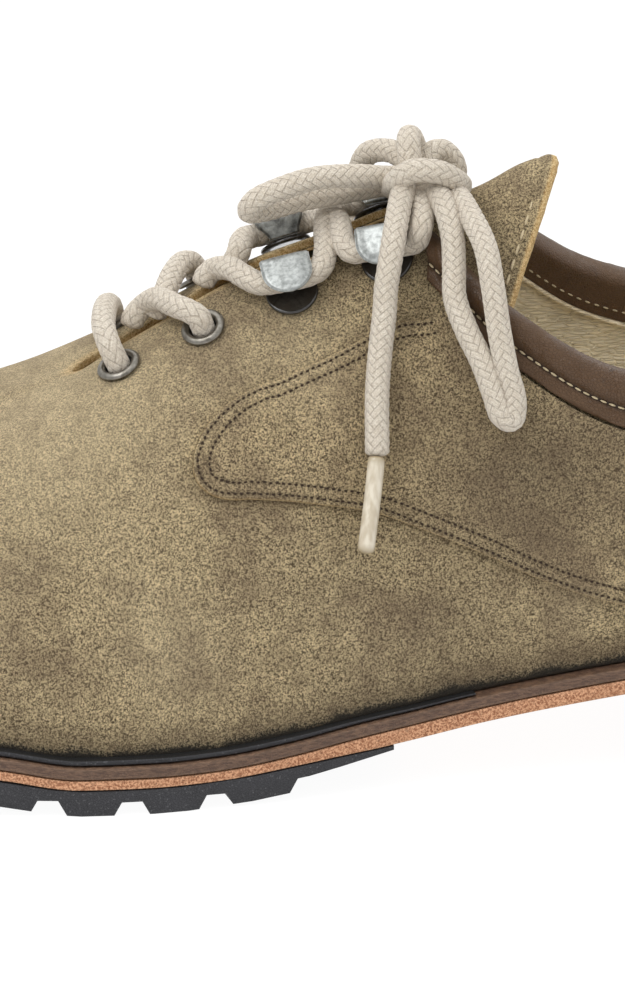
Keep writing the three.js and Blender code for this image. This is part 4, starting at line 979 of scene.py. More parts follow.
# %% Upper shell
SUEDE_WALL = 1.6
LAYER_GAP = 0.1
UPPER_STEPS = 20
LINING_STEPS = 12
EYELET_SEAT = 3.3
ribs = np.arange(UPPER_STEPS * RIBS) / UPPER_STEPS
heights = np.concatenate([np.linspace(0, 0.9, 84), np.linspace(0.905, 1, 20)])
down = heights[::-2]
g, v = np.meshgrid(ribs, heights, indexing="ij")
outside = skin(g, v, relief(g, v) - 0.18 * smooth(0.985, 1.0, v))
top = skin(ribs, np.ones_like(ribs), -0.55)
low = skin(ribs, np.ones_like(ribs), -SUEDE_WALL + 0.2)
g_in, v_in = np.meshgrid(ribs, down, indexing="ij")
inside = skin(g_in, v_in, relief(g_in, v_in) - SUEDE_WALL)
sections = np.concatenate([outside, top[:, None], low[:, None], inside], 1)
raw = np.concatenate([0.5 * smooth(0.975, 1.0, v), np.ones((len(ribs), 2)), np.zeros_like(v_in)], 1)
rand_top = welt_top(MIDDLE_S - sections[..., 0]) + GAP + RAND
foot = sections[..., 2] - rand_top
is_back = smooth(10, 35, sections[..., 0])
foot = foot + 0.5 * is_back + 0.5 * waves(sections[..., 0], 4, base=0.35)
tone = tone_of(sections)
upper = piece(
    "upper_suede", loft(sections, closed=True), SUEDE, ["upper"],
    {"raw": raw, "foot": foot, "tone": tone, "groove": np.zeros(sections.shape[:2])},
)

# %% Lining shell
ribs = np.arange(LINING_STEPS * RIBS) / LINING_STEPS
heights = np.linspace(0, 1, 70)
g, v = np.meshgrid(ribs, heights, indexing="ij")
points = skin(g, v)
crinkle = 0.18 * np.sin(points[..., 0] / 1.9 + 1.3 * np.sin(points[..., 2] / 3.1))
crinkle += 0.14 * np.sin(points[..., 2] / 1.4 + 1.1 * np.sin(points[..., 0] / 4.3))
crinkle *= smooth(1.0, 0.93, v)
outside = skin(g, v, relief(g, v) - SUEDE_WALL - LAYER_GAP)
inside = skin(g, v, relief(g, v) - WALL + LAYER_GAP + crinkle)
sections = facing(outside, inside)
raw = facing(smooth(0.97, 1, v), smooth(0.97, 1, v))
piece("upper_lining", loft(sections, closed=True), LINING, ["upper"], {"raw": raw})

# %% [markdown]
# ### Eyelet holes
# The eyelets go through both layers of the facings. The holes are cut with a boolean, one cutter for all four,
# since a hole that is only drawn would show as soon as the lace moved aside.
# %% Punch the holes
PUNCH_SIDES = 32
rise = np.array([-5.0, 3.0])
angle = np.arange(PUNCH_SIDES) / PUNCH_SIDES * 2 * math.pi
cutters = []
for key, (turn, centre) in FIXED.items():
    if not key.startswith("eyelet"):
        continue
    ring = EYELET_SEAT * np.stack([np.cos(angle), np.sin(angle), 0 * angle], -1)
    rings = np.stack([ring + (0, 0, h) for h in rise])
    cutters.append(loft(centre + rings @ turn.T))
points, faces = joined(*cutters)
punch = put("punch", mesh_of("punch", points, faces))
for obj in (upper, bpy.data.objects["upper_lining"]):
    modifier(obj, "BOOLEAN", operation="DIFFERENCE", solver="EXACT", object=punch)
    cut = frozen(obj)
    obj.modifiers.clear()
    obj.data = cut
    print(obj.name, "with holes", len(cut.polygons), "faces")
bpy.data.objects.remove(punch)

# %% [markdown]
# ## The quarters
# Each side has a second leather, from the heel seam to a rounded nose under the facings. A double row of
# stitches in dark thread pulls its edge down. The quarter follows the same skin as the upper, one leather
# higher, and the distance of each point to the cut edge shapes the two sunk rows.
# %% Outline of a quarter
QUARTER_SEAM = np.array(
    [
        (0, 0, 1), (3.9, 0, 1), (4.3, 0.08, 1), (4.9, 0.21, 1), (5.6, 0.315, 1), (6.2, 0.375, 1),
        (6.8, 0.4, 0.79), (7.44, 0.435, 0.74), (8, 0.47, 0.72), (8.35, 0.485, 0.7),
    ]
)
NOSE_START = 8.35
NOSE_LENGTH = 0.57
HEEL_SEAM = 0.02
BINDING_FRONT = 6.8
COLLAR_SEAM = 5.75
STITCH_ROWS = (0.95, 3.05)
ROW_WIDTH = 0.42
ROW_DEPTH = 0.16


def quarter_edges(k):
    k = np.asarray(k, float)
    at = np.minimum(k, NOSE_START)
    low = through(QUARTER_SEAM[:, 0], QUARTER_SEAM[:, 1], at)
    high = through(QUARTER_SEAM[:, 0], QUARTER_SEAM[:, 2], at)
    past = np.clip((k - NOSE_START) / NOSE_LENGTH, 0, 1)
    half = (high - low) / 2 * np.sqrt(np.maximum(1e-5, 1 - past**2))
    middle = (high + low) / 2
    return middle - half, middle + half


def quarter_frame(rib, ks, shares):
    low, high = quarter_edges(ks)
    g = rib(ks)
    high = np.minimum(high, depth_to_v(g, [BINDING_DEPTH + 2 * GAP])[:, 0])
    v = low[:, None] + (high - low)[:, None] * shares
    return np.broadcast_to(g[:, None], v.shape), v


def seam_line(rib):
    """The stitched edge: along the bottom, round the nose and back under the facings."""
    nose = NOSE_START + NOSE_LENGTH * np.sin(np.linspace(0, 1.57, 40))
    ks = np.concatenate([np.linspace(3.92, NOSE_START, 150), nose])
    low, high = quarter_edges(ks)
    back = ks > 6.72
    g = np.concatenate([rib(ks), rib(ks[back])[::-1]])
    v = np.concatenate([low, high[back][::-1]])
    return g, v


def away_from(points, line):
    """Distance from each point to a line of points."""
    tree = kdtree.KDTree(len(line))
    for i, p in enumerate(line):
        tree.insert(p, i)
    tree.balance()
    flat = points.reshape(-1, 3)
    return np.array([tree.find(p)[2] for p in flat]).reshape(points.shape[:-1])


def fine_line(line):
    return evenly(line, 0.3)[0]


# %% Quarter leathers
nose = NOSE_START + NOSE_LENGTH * np.sin(np.linspace(0.03, 1.55, 60))
ks = np.concatenate([np.linspace(HEEL_SEAM, NOSE_START, 300), nose])
fine_ends = np.concatenate([np.linspace(0, 0.16, 22), np.linspace(0.175, 0.825, 52), np.linspace(0.84, 1, 22)])
for side, rib in SIDES.items():
    g, v = quarter_frame(rib, ks, fine_ends)
    away = away_from(skin(g, v, GAP), fine_line(skin(*seam_line(rib), GAP)))
    rows = sum(np.exp(-(((away - at_row) / ROW_WIDTH) ** 2)) for at_row in STITCH_ROWS)
    puff = 0.1 * np.exp(-(((away - sum(STITCH_ROWS) / 2) / 0.7) ** 2))
    puff = puff + 0.3 * smooth(3.6, 6.5, away) * smooth(14, 8, away)
    rounding = 0.8 * (1 - round_off(away, 1.0))
    lift = GAP + QUARTER + relief(g, v) - ROW_DEPTH * rows + puff - rounding
    sections = facing(skin(g, v, lift), skin(g, v, GAP + relief(g, v)))
    tone = tone_of(sections)
    foot = sections[..., 2] - (welt_top(MIDDLE_S - sections[..., 0]) + GAP + RAND)
    foot = foot + 1.4 * smooth(10, 35, sections[..., 0]) + 0.5 * waves(sections[..., 0], 4, base=0.35)
    raw = facing(0.4 * smooth(0.3, 0.0, away), smooth(0.9, 0.2, away))
    # The groove mark darkens the two sunk rows: painted shade.
    groove = facing(np.clip(rows, 0, 1), np.zeros_like(rows))
    piece(
        "quarter_suede_" + side, loft(sections), SUEDE_QUARTER, ["quarter_" + side],
        {"raw": raw, "foot": foot, "tone": tone, "groove": groove},
    )

# %% [markdown]
# ## Stitches
# Thread comes back on the quarters, the collar, the tongue and the heel. A small Geometry Nodes tree lays one
# short rounded stitch at each even step along the rows that it is given, turned along the row. Its pitch,
# stitch length and thread thickness are inputs, so one tree serves every seam.
# %% Stitch tree
STITCHES, given, out = group(
    "stitches",
    [
        ("Geometry", "Geometry", None), ("Pitch", "Float", None), ("Stitch", "Float", None),
        ("Thread", "Float", None), ("Finish", "Material", None),
    ],
    [("Geometry", "Geometry")],
    "GeometryNodeTree",
)
STITCH_SOCKETS = {item.name: item.identifier for item in STITCHES.interface.items_tree if item.in_out == "INPUT"}


def lay(kind, inputs, family="GeometryNode", **settings):
    return node(STITCHES, kind, inputs, family, **settings).outputs


row = lay("MeshToCurve", {"Mesh": given["Geometry"]})
steps = lay("ResampleCurve", {"Curve": row["Curve"], "Length": given["Pitch"]}, mode="LENGTH")
tangent = lay("InputTangent", {})
aim = lay("AlignRotationToVector", {"Vector": tangent[0]}, "FunctionNode", axis="Z")
bead = lay("MeshUVSphere", {"Segments": 8, "Rings": 6, "Radius": 0.5})
size = lay("CombineXYZ", {"X": given["Thread"], "Y": given["Thread"], "Z": given["Stitch"]}, "ShaderNode")
laid = lay(
    "InstanceOnPoints",
    {"Points": steps["Curve"], "Instance": bead["Mesh"], "Rotation": aim["Rotation"], "Scale": size["Vector"]},
)
real = lay("RealizeInstances", {"Geometry": laid["Instances"]})
soft = lay("SetShadeSmooth", {"Geometry": real["Geometry"]})
done = lay("SetMaterial", {"Geometry": soft["Geometry"], "Material": given["Finish"]})
feed(STITCHES, out, {"Geometry": done["Geometry"]})


def thread_finish(name, dark, light):
    made, tree, shader = finish(name, 0.8)
    twist = noise(tree, object_place(tree), 2600, 2.0)
    covered(tree, shader, mixed(tree, twist, dark, light), twist, 0.0002)
    return made


DARK_THREAD = thread_finish("thread_dark", tint(26, 16, 8), tint(66, 46, 26))
LIGHT_THREAD = thread_finish("thread_light", tint(170, 152, 118), tint(222, 206, 172))


def stitch_rows(name, rows, thread_used, slot, pitch, stitch, thread):
    points = np.vstack(rows)
    starts = np.cumsum([0] + [len(row) for row in rows])
    edges = [(i, i + 1) for a, b in zip(starts[:-1], starts[1:]) for i in range(a, b - 1)]
    obj = put(name, mesh_of(name, points, [], edges))
    laid = modifier(obj, "NODES", node_group=STITCHES)
    given = {"Pitch": pitch * MM, "Stitch": stitch * MM, "Thread": thread * MM, "Finish": thread_used}
    for key, value in given.items():
        laid[STITCH_SOCKETS[key]] = value
    mesh = frozen(obj)
    obj.modifiers.clear()
    obj.data = mesh
    enrol(obj)
    print(name, len(mesh.polygons), "faces")


# %% Rows at a set distance inside an edge
def quarter_row(side, distance, lift):
    """Points on the quarter at a distance from its stitched edge, found on a fine net."""
    rib = SIDES[side]
    g, v = seam_line(rib)
    edge_points = skin(g, v, GAP)
    run = unit(np.gradient(edge_points, axis=0))
    normal = outward(g, v)
    inward = np.cross(normal, run)
    middle = skin(np.full_like(g, rib(7.4)), np.full_like(v, 0.58))
    if np.einsum("ij,ij->", inward, middle - edge_points) < 0:
        inward = -inward
    jitter = 0.1 * waves(np.arange(len(g)) * 1.7, 61 + int(10 * distance))
    want = edge_points + (distance + jitter)[:, None] * inward
    # A few small steps find the (g, v) of each wanted point on the surface
    for _ in range(6):
        here = skin(g, v, GAP)
        along_g = (skin(g + 0.01, v, GAP) - skin(g - 0.01, v, GAP)) / 0.02
        along_v = (skin(g, v + 0.01, GAP) - skin(g, v - 0.01, GAP)) / 0.02
        miss = want - here
        pairs = ((along_g, along_g), (along_g, along_v), (along_v, along_v), (miss, along_g), (miss, along_v))
        a, b, c, p, q = (np.einsum("ij,ij->i", *pair) for pair in pairs)
        det = a * c - b * b
        g = g + (c * p - b * q) / det
        v = v + (a * q - b * p) / det
    keep = away_from(skin(g, v, GAP), fine_line(edge_points)) > distance * 0.93
    return skin(g, v, lift + jitter + relief(g, v))[keep]


rows = [quarter_row(side, at_row, GAP + QUARTER - 0.08) for side in SIDES for at_row in STITCH_ROWS]
stitch_rows("quarter_stitches", rows, DARK_THREAD, "suede", pitch=1.2, stitch=0.7, thread=0.46)
HEEL_ROWS = (0.09, 0.2)
heel_v = np.linspace(0.04, 0.76, 90)
rows = []
for side, rib in SIDES.items():
    for k in HEEL_ROWS:
        g = np.full_like(heel_v, rib(k))
        rows.append(skin(g, heel_v, GAP + QUARTER + 0.05 + relief(g, heel_v)))
stitch_rows("heel_stitches", rows, DARK_THREAD, "suede", pitch=2.2, stitch=1.7, thread=0.55)

# %% [markdown]
# ## The collar binding
# A strip of smooth dark leather is folded over the collar and padded along the fold. One row of light stitches
# holds it, and the leather swells above them and lies flat below. Its profile is drawn once, as depth below the
# top edge and lift off the skin, and carried round the heel from one facing to the other.
# %% Smooth leather
BINDING_FINISH, tree, shader = finish("smooth_leather", 0.58, Coat_Weight=0.03, Coat_Roughness=0.35)
grain = grain_of(tree, object_place(tree), 0.0006, 0.003)
grime = grime_of(tree, 0.01)
body = mixed(tree, grain["Folds"], tint(83, 57, 31), tint(56, 37, 19))
body = stained(tree, body, grime["Dust"], 0.3, tint(104, 80, 56))
# Darker along the groove mark of the stitched seam: painted shade.
body = stained(tree, body, mark(tree, "groove"), 0.75, tint(26, 18, 12))
feed(tree, shader.inputs, {"Roughness": band_of(tree, grime["Dust"], 0.0, 1.0, 0.44, 0.66)})
covered(tree, shader, body, grain["Height"], 0.00035)

# %% Binding
FOLD = [
    (8.9, 0.75), (9.05, 1.2), (8.75, 1.68), (8.0, 1.8), (7.0, 1.85), (6.2, 1.7), (5.75, 1.42), (5.3, 1.75),
    (4.4, 2.75), (3.0, 3.2), (1.4, 3.2), (0.1, 2.75), (-1.0, 1.7), (-1.62, 0.2), (-1.72, -1.2), (-1.5, -2.7),
    (-0.8, -3.85), (0.4, -4.25), (2.5, -4.25), (5.0, -4.15), (7.6, -4.12), (8.1, -3.85), (8.2, -3.4), (8.0, -3.02),
    (6.0, -2.97), (2.0, -2.95), (-0.2, -2.9), (-0.5, -2.4), (-0.53, -1.2), (-0.53, 0.0), (-0.2, 0.52),
    (2.0, 0.56), (5.0, 0.56), (8.0, 0.57),
]


def closed_curve(points):
    """A smooth closed curve through the points, three steps in each span."""
    return along(np.asarray(points, float), np.arange(len(points) * 3) / 3)


profile = closed_curve(FOLD)
ks = np.linspace(-BINDING_FRONT, BINDING_FRONT, 560)
g = ks % RIBS
depth, lift = (np.broadcast_to(profile[:, c], (len(ks), len(profile))) for c in (0, 1))
length_at = run_along(skin(g, 1.0))
pucker = 0.2 * waves(length_at, 11, 4, 0.9)
outer_part = smooth(0.9, 2.2, lift) * smooth(6.2, 4.5, depth)
lower_part = smooth(0.9, 1.5, lift) * smooth(5.9, 6.4, depth)
lift = lift + outer_part * pucker[:, None] + 0.1 * lower_part * waves(length_at, 12, 4, 1.4)[:, None]
depth = depth + lower_part * 0.3 * waves(length_at, 13, 4, 0.25)[:, None]
sections = skin(g[:, None], depth_to_v(g, depth), lift)
# The groove mark darkens the stitched seam of the fold: painted shade.
groove = np.exp(-(((depth - COLLAR_SEAM) / 0.5) ** 2)) * (lift > 0.9)
piece("collar_fold", loft(sections), BINDING_FINISH, ["collar_binding"], {"groove": groove})

ks = np.linspace(-BINDING_FRONT + 0.04, BINDING_FRONT - 0.04, 300)
g = ks % RIBS
at_v = depth_to_v(g, [COLLAR_SEAM, 8.7])
row = skin(g, at_v[:, 0], 1.6)
inner_row = skin(g, at_v[:, 0], -4.3)
seam_used = (LIGHT_THREAD, "smooth_leather")
stitch_rows("collar_stitches", [row], *seam_used, pitch=1.75, stitch=1.35, thread=0.42)
stitch_rows("collar_stitches_inside", [inner_row], *seam_used, pitch=1.9, stitch=1.1, thread=0.36)

# The lining's folded edge shows as a pale line under the binding
turn = np.arange(12) / 12 * 2 * math.pi
line, _ = evenly(skin(g, at_v[:, 1], -3.9), 0.8)
_, aside, up = frames(line)
rings = line[:, None] + 0.45 * (np.cos(turn)[:, None] * aside[:, None] + np.sin(turn)[:, None] * up[:, None])
solid = loft(rings)
piece("lining_fold", solid, LINING, (), {"raw": np.full(len(solid[0]), 0.2)})

# %% [markdown]
# ## The tongue
# The tongue is a wide saddle of the same suede under the facings. Its cut edge shows the raw yellow hide and a
# light row of stitches runs just inside it. It is lofted through the rows of the solid, with the leather
# thinned to a round edge at its border.
# %% Tongue
TONGUE_ROWS = np.array(
    [
        (6.05, 0.39, 1.08, 0.93, 5.2), (6.5, 0.437, 1.028, 0.86, 5.2), (7, 0.474, 0.99, 0.82, 5.1),
        (7.5, 0.5, 0.955, 0.8, 3.3), (8, 0.521, 0.918, 0.8, 3.3), (9, 0.58, 0.858, 0.8, 3.3),
        (10, 0.626, 0.776, 0.82, 3.3), (11, 0.656, 0.725, 0.86, 3.3), (12, 0.672, 0.693, 0.93, 3.3),
    ]
)
TONGUE_ACROSS = 120
TONGUE_ALONG = 150
TONGUE_SEAM = 2.5
TONGUE_LIP = (0.55, 0.28)
TONGUE_RAISE = 1.4


def tongue_row(k):
    at, z, reach, clear = (through(TONGUE_ROWS[:, 0], TONGUE_ROWS[:, c], k) for c in (1, 2, 3, 4))
    vs = np.linspace(reach, 1, 3)
    lateral = skin(np.full(3, k), vs, -clear)
    medial = skin(np.full(3, RIBS - k), vs, -clear)
    centre = place(at * LENGTH, 0.0, z * INSTEP_HEIGHT)
    centre[1] = (lateral[2, 1] + medial[2, 1]) / 2
    return spline(np.vstack([lateral, centre, medial[::-1]]))


rows = np.array([tongue_row(k) for k in np.linspace(6.05, 11.9, 90)])
rows = np.vstack([rows[:1] + (rows[:1] - rows[2:3]) * step for step in TONGUE_LIP] + [rows])
rows[:, :, 2] += TONGUE_RAISE * smooth(18, 0, np.arange(len(rows)))[:, None]
width_run = np.linspace(0, 1, rows.shape[1])
across = np.linspace(0, 1, TONGUE_ACROSS)
across = 0.5 - 0.5 * np.cos(math.pi * (0.15 + 0.7 * across))
across = (across - across[0]) / (across[-1] - across[0])
grid = np.stack([[np.interp(across, width_run, row[:, c]) for c in range(3)] for row in rows]).transpose(0, 2, 1)
row_run = run_along(grid[:, TONGUE_ACROSS // 2])
want = row_run[-1] * (np.linspace(0, 1, TONGUE_ALONG) ** 1.35)
index = np.interp(want, row_run, np.arange(len(row_run)))
low_i = np.minimum(index.astype(int), len(row_run) - 2)
part = (index - low_i)[:, None, None]
grid = grid[low_i] * (1 - part) + grid[low_i + 1] * part
ahead = np.gradient(grid, axis=0)
aside = np.gradient(grid, axis=1)
normal = unit(np.cross(aside, ahead))
if normal[TONGUE_ALONG // 2, TONGUE_ACROSS // 2, 2] < 0:
    normal = -normal
border = np.vstack([grid[:, 0], grid[-1, :], grid[::-1, -1], grid[0, ::-1]])
away = away_from(grid, fine_line(border))
ripple = 0.35 * np.sin(want / 5.5 + 0.6)[:, None] * np.sin(math.pi * across)[None, :]
ripple = ripple + 0.25 * np.sin(want / 2.9)[:, None] * smooth(0, 8, away)
bend = TONGUE / 2 * (1 - round_off(away, 1.3))
seam = np.exp(-(((away - TONGUE_SEAM) / 0.45) ** 2))
above = grid + normal * (ripple - bend - 0.3 * seam)[..., None]
below = grid + normal * (ripple * 0.6 - TONGUE + bend)[..., None]
sections = facing(above, below)
raw = smooth(1.0, 0.35, away)
# Darker towards the lower end of the tongue: painted shade under the knot.
tone = 0.1 - 0.5 * smooth(108, 92, sections[..., 2])
FAR_FROM_FOOT = 60.0
# The seam's groove mark darkens the tongue's stitch row: painted shade.
marks = {"raw": facing(raw, raw), "groove": facing(seam * 0.5, 0 * seam)}
marks.update(foot=np.full(tone.shape, FAR_FROM_FOOT), tone=tone)
piece("tongue_suede", loft(sections), SUEDE, ["tongue"], marks)
top_row = [(i, 0) for i in range(TONGUE_ALONG // 2, -1, -1)]
top_row += [(0, j) for j in range(TONGUE_ACROSS)]
top_row += [(i, TONGUE_ACROSS - 1) for i in range(TONGUE_ALONG // 2)]
dash = []
for i, j in top_row:
    gap_grid = np.linalg.norm(grid - grid[i, j], axis=-1)
    good = np.abs(away - TONGUE_SEAM) < 0.35
    cost = np.where(good, gap_grid, 1e6)
    pick = np.unravel_index(np.argmin(cost), cost.shape)
    if cost[pick] < 4.5:
        dash.append(above[pick] + normal[pick] * 0.12)
dash = np.array(dash)
keep = np.concatenate([[True], np.linalg.norm(np.diff(dash, axis=0), axis=1) > 0.05])
dash = dash[keep]
for _ in range(12):
    dash[1:-1] = 0.25 * dash[:-2] + 0.5 * dash[1:-1] + 0.25 * dash[2:]
stitch_rows("tongue_stitches", [dash], LIGHT_THREAD, "suede", pitch=3.0, stitch=2.2, thread=0.6)

# %% [markdown]
# ## The sole
# Under the upper lie a brown welt and a tan leather midsole, then a black rubber half-sole with lugs, cut off at
# the waist. Leather edges are trimmed, waxed and worn, so each band has rounded arrises and a faint wave. The
# plates are lofted from the same sole edge as the solids, with several heights in each section for the worn edge.
# %% Leather and rubber of the sole
def leather_edge(name, light, dark, rough, dirt, streak, flat):
    made, tree, shader = finish(name, rough)
    layers = noise(tree, stretched(tree, (1, 1, flat)), streak, 3.0, 0.6)
    grain = grain_of(tree, object_place(tree), 0.0005, 0.0016)
    grime = grime_of(tree, 0.009)
    body = mixed(tree, band_of(tree, layers, 0.38, 0.62), dark, light)
    body = stained(tree, body, grime["Dust"], 0.35, dirt)
    body = stained(tree, body, grime["Specks"], 0.4, tint(70, 52, 40))
    body = stained(tree, body, mark(tree, "worn"), 0.55, tint(212, 180, 146))
    body = stained(tree, body, mark(tree, "dark"), 0.9, tint(40, 32, 26))
    height = maths(tree, "MULTIPLY_ADD", layers, 0.6, maths(tree, "MULTIPLY", grain["Height"], 0.4))
    covered(tree, shader, body, height, 0.0005)
    return made


MIDSOLE_FINISH = leather_edge(
    "midsole_leather", tint(232, 176, 136), tint(156, 102, 70), 0.85, tint(178, 128, 94), 2400, 1.0
)
WELT_FINISH = leather_edge("welt_leather", tint(118, 90, 70), tint(86, 62, 48), 0.5, tint(78, 56, 44), 700, 5)
LIFT_FINISH = leather_edge("heel_leather", tint(206, 154, 114), tint(150, 104, 72), 0.6, tint(128, 88, 62), 500, 6)

RUBBER, tree, shader = finish("rubber", 0.72)
grain = grain_of(tree, object_place(tree), 0.0005, 0.002)
grime = grime_of(tree, 0.008)
body = mixed(tree, grain["Folds"], tint(54, 54, 57), tint(38, 38, 42))
body = stained(tree, body, grime["Dust"], 0.35, tint(66, 66, 70))
body = stained(tree, body, grime["Specks"], 0.5, tint(112, 112, 114))
# Near black where the dark mark is set, on the rand's top face: dirt and painted shade under the upper's edge.
body = mixed(tree, mark(tree, "dark"), body, tint(14, 13, 13))
covered(tree, shader, body, grain["Height"], 0.0004)
print("sole finishes")

# %% Plates of the sole
TIP_STEPS = np.array([0, 0.03, 0.08, 0.16, 0.27, 0.4, 0.55, 0.75])
HALF_STEPS = np.concatenate([TIP_STEPS, np.linspace(1, HALF - 1, 150), HALF - TIP_STEPS[::-1]])


FINE_STEPS = np.linspace(0, HALF, 3001)


def rim(g, inset):
    return edge(g, inset(g) if callable(inset) else np.full_like(g, inset))


def worn_arris(rounding, count):
    """Steps round a worn edge: how far in, and how far up from the face."""
    turn = np.linspace(0, math.pi / 2, count)
    return [(rounding * (1 - math.sin(a)), rounding * (1 - math.cos(a))) for a in turn]


def plate(inset, bottom, top, rounding, until=None):
    """A sole plate: each section runs across, with rounded arrises at both edges."""
    lateral_rim, medial_rim = rim(FINE_STEPS, inset), rim((RIBS - FINE_STEPS) % RIBS, inset)
    s = rim(HALF_STEPS, inset)[:, 0]
    first, last = lateral_rim[:, 0].min() + 0.02, lateral_rim[:, 0].max() - 0.02
    s = np.concatenate([[first], s[(s > first + 0.02) & (s < last - 0.02)], [last]])
    if until is not None:
        s = np.concatenate([s[s < until - 0.4], [until - 0.02]])
    by_s = (points[np.argsort(points[:, 0])] for points in (lateral_rim, medial_rim))
    lateral, medial = (np.interp(s, points[:, 0], points[:, 1]) for points in by_s)
    low, high = bottom(s), top(s)
    arris = worn_arris(rounding, 5)
    ring = [(x, low + h) for x, h in arris]
    ring += [(0.0, low + rounding + q * (high - low - 2 * rounding)) for q in np.linspace(0.15, 0.85, 6)]
    ring += [(x, high - h) for x, h in reversed(arris)]
    worn = np.array([1.0] * 5 + [0.0] * 6 + [1.0] * 5)
    left = np.stack([place(s, lateral + x, z) for x, z in ring], 1)
    right = np.stack([place(s, medial - x, z) for x, z in ring], 1)
    sections = facing(left, right)
    return sections, np.broadcast_to(np.concatenate([worn, worn[::-1]]), sections.shape[:2])


def wave_edge(amount, seed):
    return lambda g: amount * waves(np.asarray(g) * 11.0, seed, 6, 0.25)


sections, worn = plate(wave_edge(0.06, 21), seat, midsole_top, 0.2)
marks = {"worn": worn * 0.2, "dark": worn * 0}
piece("midsole_edge", loft(sections), MIDSOLE_FINISH, ["midsole"], marks)
BREAST = 0.257 * LENGTH
sections, worn = plate(0.2, lambda s: TOP_PIECE + GAP + 0 * s, lambda s: seat(s) - GAP, 0.3, until=BREAST)
marks = {"worn": worn * 0.3, "dark": worn * 0}
piece("heel_stack", loft(sections), LIFT_FINISH, ["heel_lifts"], marks)


# %% Bands of the sole
def band(outer, inner, bottom, top, ribs, rounding):
    """A band round the sole: up its worn outer edge, in along the top and back along the bottom."""

    def row(inset, height_at):
        at_x = edge(ribs, inset)
        return place(at_x[:, 0], at_x[:, 1], height_at(at_x[:, 0]))

    def side_height(share):
        return lambda s: bottom(s) + rounding + share * (top(s) - bottom(s) - 2 * rounding)

    rim_at = outer(ribs)
    wide = inner(ribs) - rim_at - rounding
    arris = worn_arris(rounding, 6)
    shares = (0.2, 0.45, 0.7, 1.0)
    rows = [row(rim_at + x, lambda s: bottom(s) + h) for x, h in arris]
    rows += [row(rim_at, side_height(share)) for share in (0.25, 0.5, 0.75)]
    rows += [row(rim_at + x, lambda s: top(s) - h) for x, h in arris[::-1]]
    rows += [row(rim_at + rounding + share * wide, top) for share in shares]
    rows += [row(rim_at + rounding + share * wide, bottom) for share in shares[::-1]]
    worn = np.array([1.0] * 6 + [0.0] * 3 + [1.0] * 6 + [0.0] * 8)
    sections = np.stack(rows, 1)
    return sections, np.broadcast_to(worn, sections.shape[:2])


welt_ribs = np.arange(14 * RIBS) / 14
sections, worn = band(
    wave_edge(0.07, 31), lambda g: np.full_like(g, WELT_WIDTH), lambda s: midsole_top(s) + GAP, welt_top, welt_ribs,
    0.25,
)
piece(
    "welt_band", loft(sections, closed=True), WELT_FINISH, ["welt"],
    {"worn": worn * 0.1, "dark": worn * 0},
)


def rib_at(s, side):
    return side * float(np.interp(s, edge(side * FINE_STEPS)[:, 0], FINE_STEPS))


RAND_BACK = 0.44 * LENGTH
rand_ribs = np.linspace(rib_at(RAND_BACK, 1), RIBS + rib_at(RAND_BACK, -1), 420)
sections, _ = band(
    lambda g: RAND_INSET + 0.12 * waves(np.asarray(g) * 9, 41, 5, 0.3), lambda g: ledge(g) - GAP,
    lambda s: welt_top(s) + GAP,
    lambda s: welt_top(s) + GAP + RAND * (0.4 + 0.6 * smooth(RAND_BACK, RAND_BACK + 45, s)), rand_ribs, 0.3,
)
# The rand's top face is marked dark: dirt and painted shade under the upper's edge.
dirty_shaded_top = np.zeros(sections.shape[:2])
dirty_shaded_top[:, 14:20] = 1
piece("rand_band", loft(sections), RUBBER, ["storm_rand"], {"dark": dirty_shaded_top})

# %% Insole
sections, _ = plate(
    lambda g: ledge(g) + WALL + INSOLE_EASE, lambda s: welt_top(s) + GAP, lambda s: welt_top(s) + GAP + INSOLE, 0.8,
)
points, faces = loft(sections)
piece("insole_board", (points, faces), INSOLE_LEATHER, ["insole"], {"raw": np.zeros(len(points))})

# %% [markdown]
# ### Rubber
# The lugs are already whole in the solid model, so its meshes are copied, their corners merged, and only the
# hard arrises are rounded with a bevel. That keeps every groove exactly where the frame has it.
# %% Lugged rubber
BEVEL = 0.35


def bevelled_copy(name, node_name):
    mesh = bpy.data.objects[node_name].data.copy()
    mesh.materials.clear()
    obj = put(name, mesh)
    modifier(obj, "WELD", merge_threshold=1e-6)
    modifier(obj, "DECIMATE", decimate_type="DISSOLVE", angle_limit=math.radians(1.0))
    settings = {"width": BEVEL * MM, "segments": 2, "limit_method": "ANGLE", "use_clamp_overlap": True}
    modifier(obj, "BEVEL", angle_limit=math.radians(32), **settings)
    made = frozen(obj)
    obj.modifiers.clear()
    obj.data = made
    made.materials.clear()
    made.materials.append(RUBBER)
    made.shade_smooth()
    made.set_sharp_from_angle(angle=math.radians(50))
    enrol(obj, [node_name])
    print(name, len(made.polygons), "faces")


bevelled_copy("rubber_half_sole", "outsole_forefoot")
bevelled_copy("rubber_heel", "heel_top_piece")

# %% [markdown]
# ## Metal
# Two pairs of eyelets and two pairs of hooks close the shoe. The eyelets are rolled brass in a dull nickel, the
# hooks a domed plate in antique silver on a black lacquered base. Each is turned or bent in its own frame and set
# on the skin by the same frame as the solids.
# %% Metal finishes
def metal(name, light, dark, rough, dent, dent_size):
    made, tree, shader = finish(name, rough, Metallic=1.0)
    at = object_place(tree)
    grime = grime_of(tree, 0.004)
    hammered = noise(tree, at, 1.0 / dent_size, 4.0, 0.6)
    body = mixed(tree, band_of(tree, hammered, 0.25, 0.7), dark, light)
    body = stained(tree, body, grime["Dust"], 0.2, dark)
    feed(tree, shader.inputs, {"Roughness": band_of(tree, grime["Dust"], 0.0, 1.0, rough, rough + 0.08)})
    covered(tree, shader, body, hammered, dent)
    return made


SILVER = metal("antique_silver", tint(176, 179, 177), tint(132, 135, 133), 0.45, 0.00005, 0.0008)
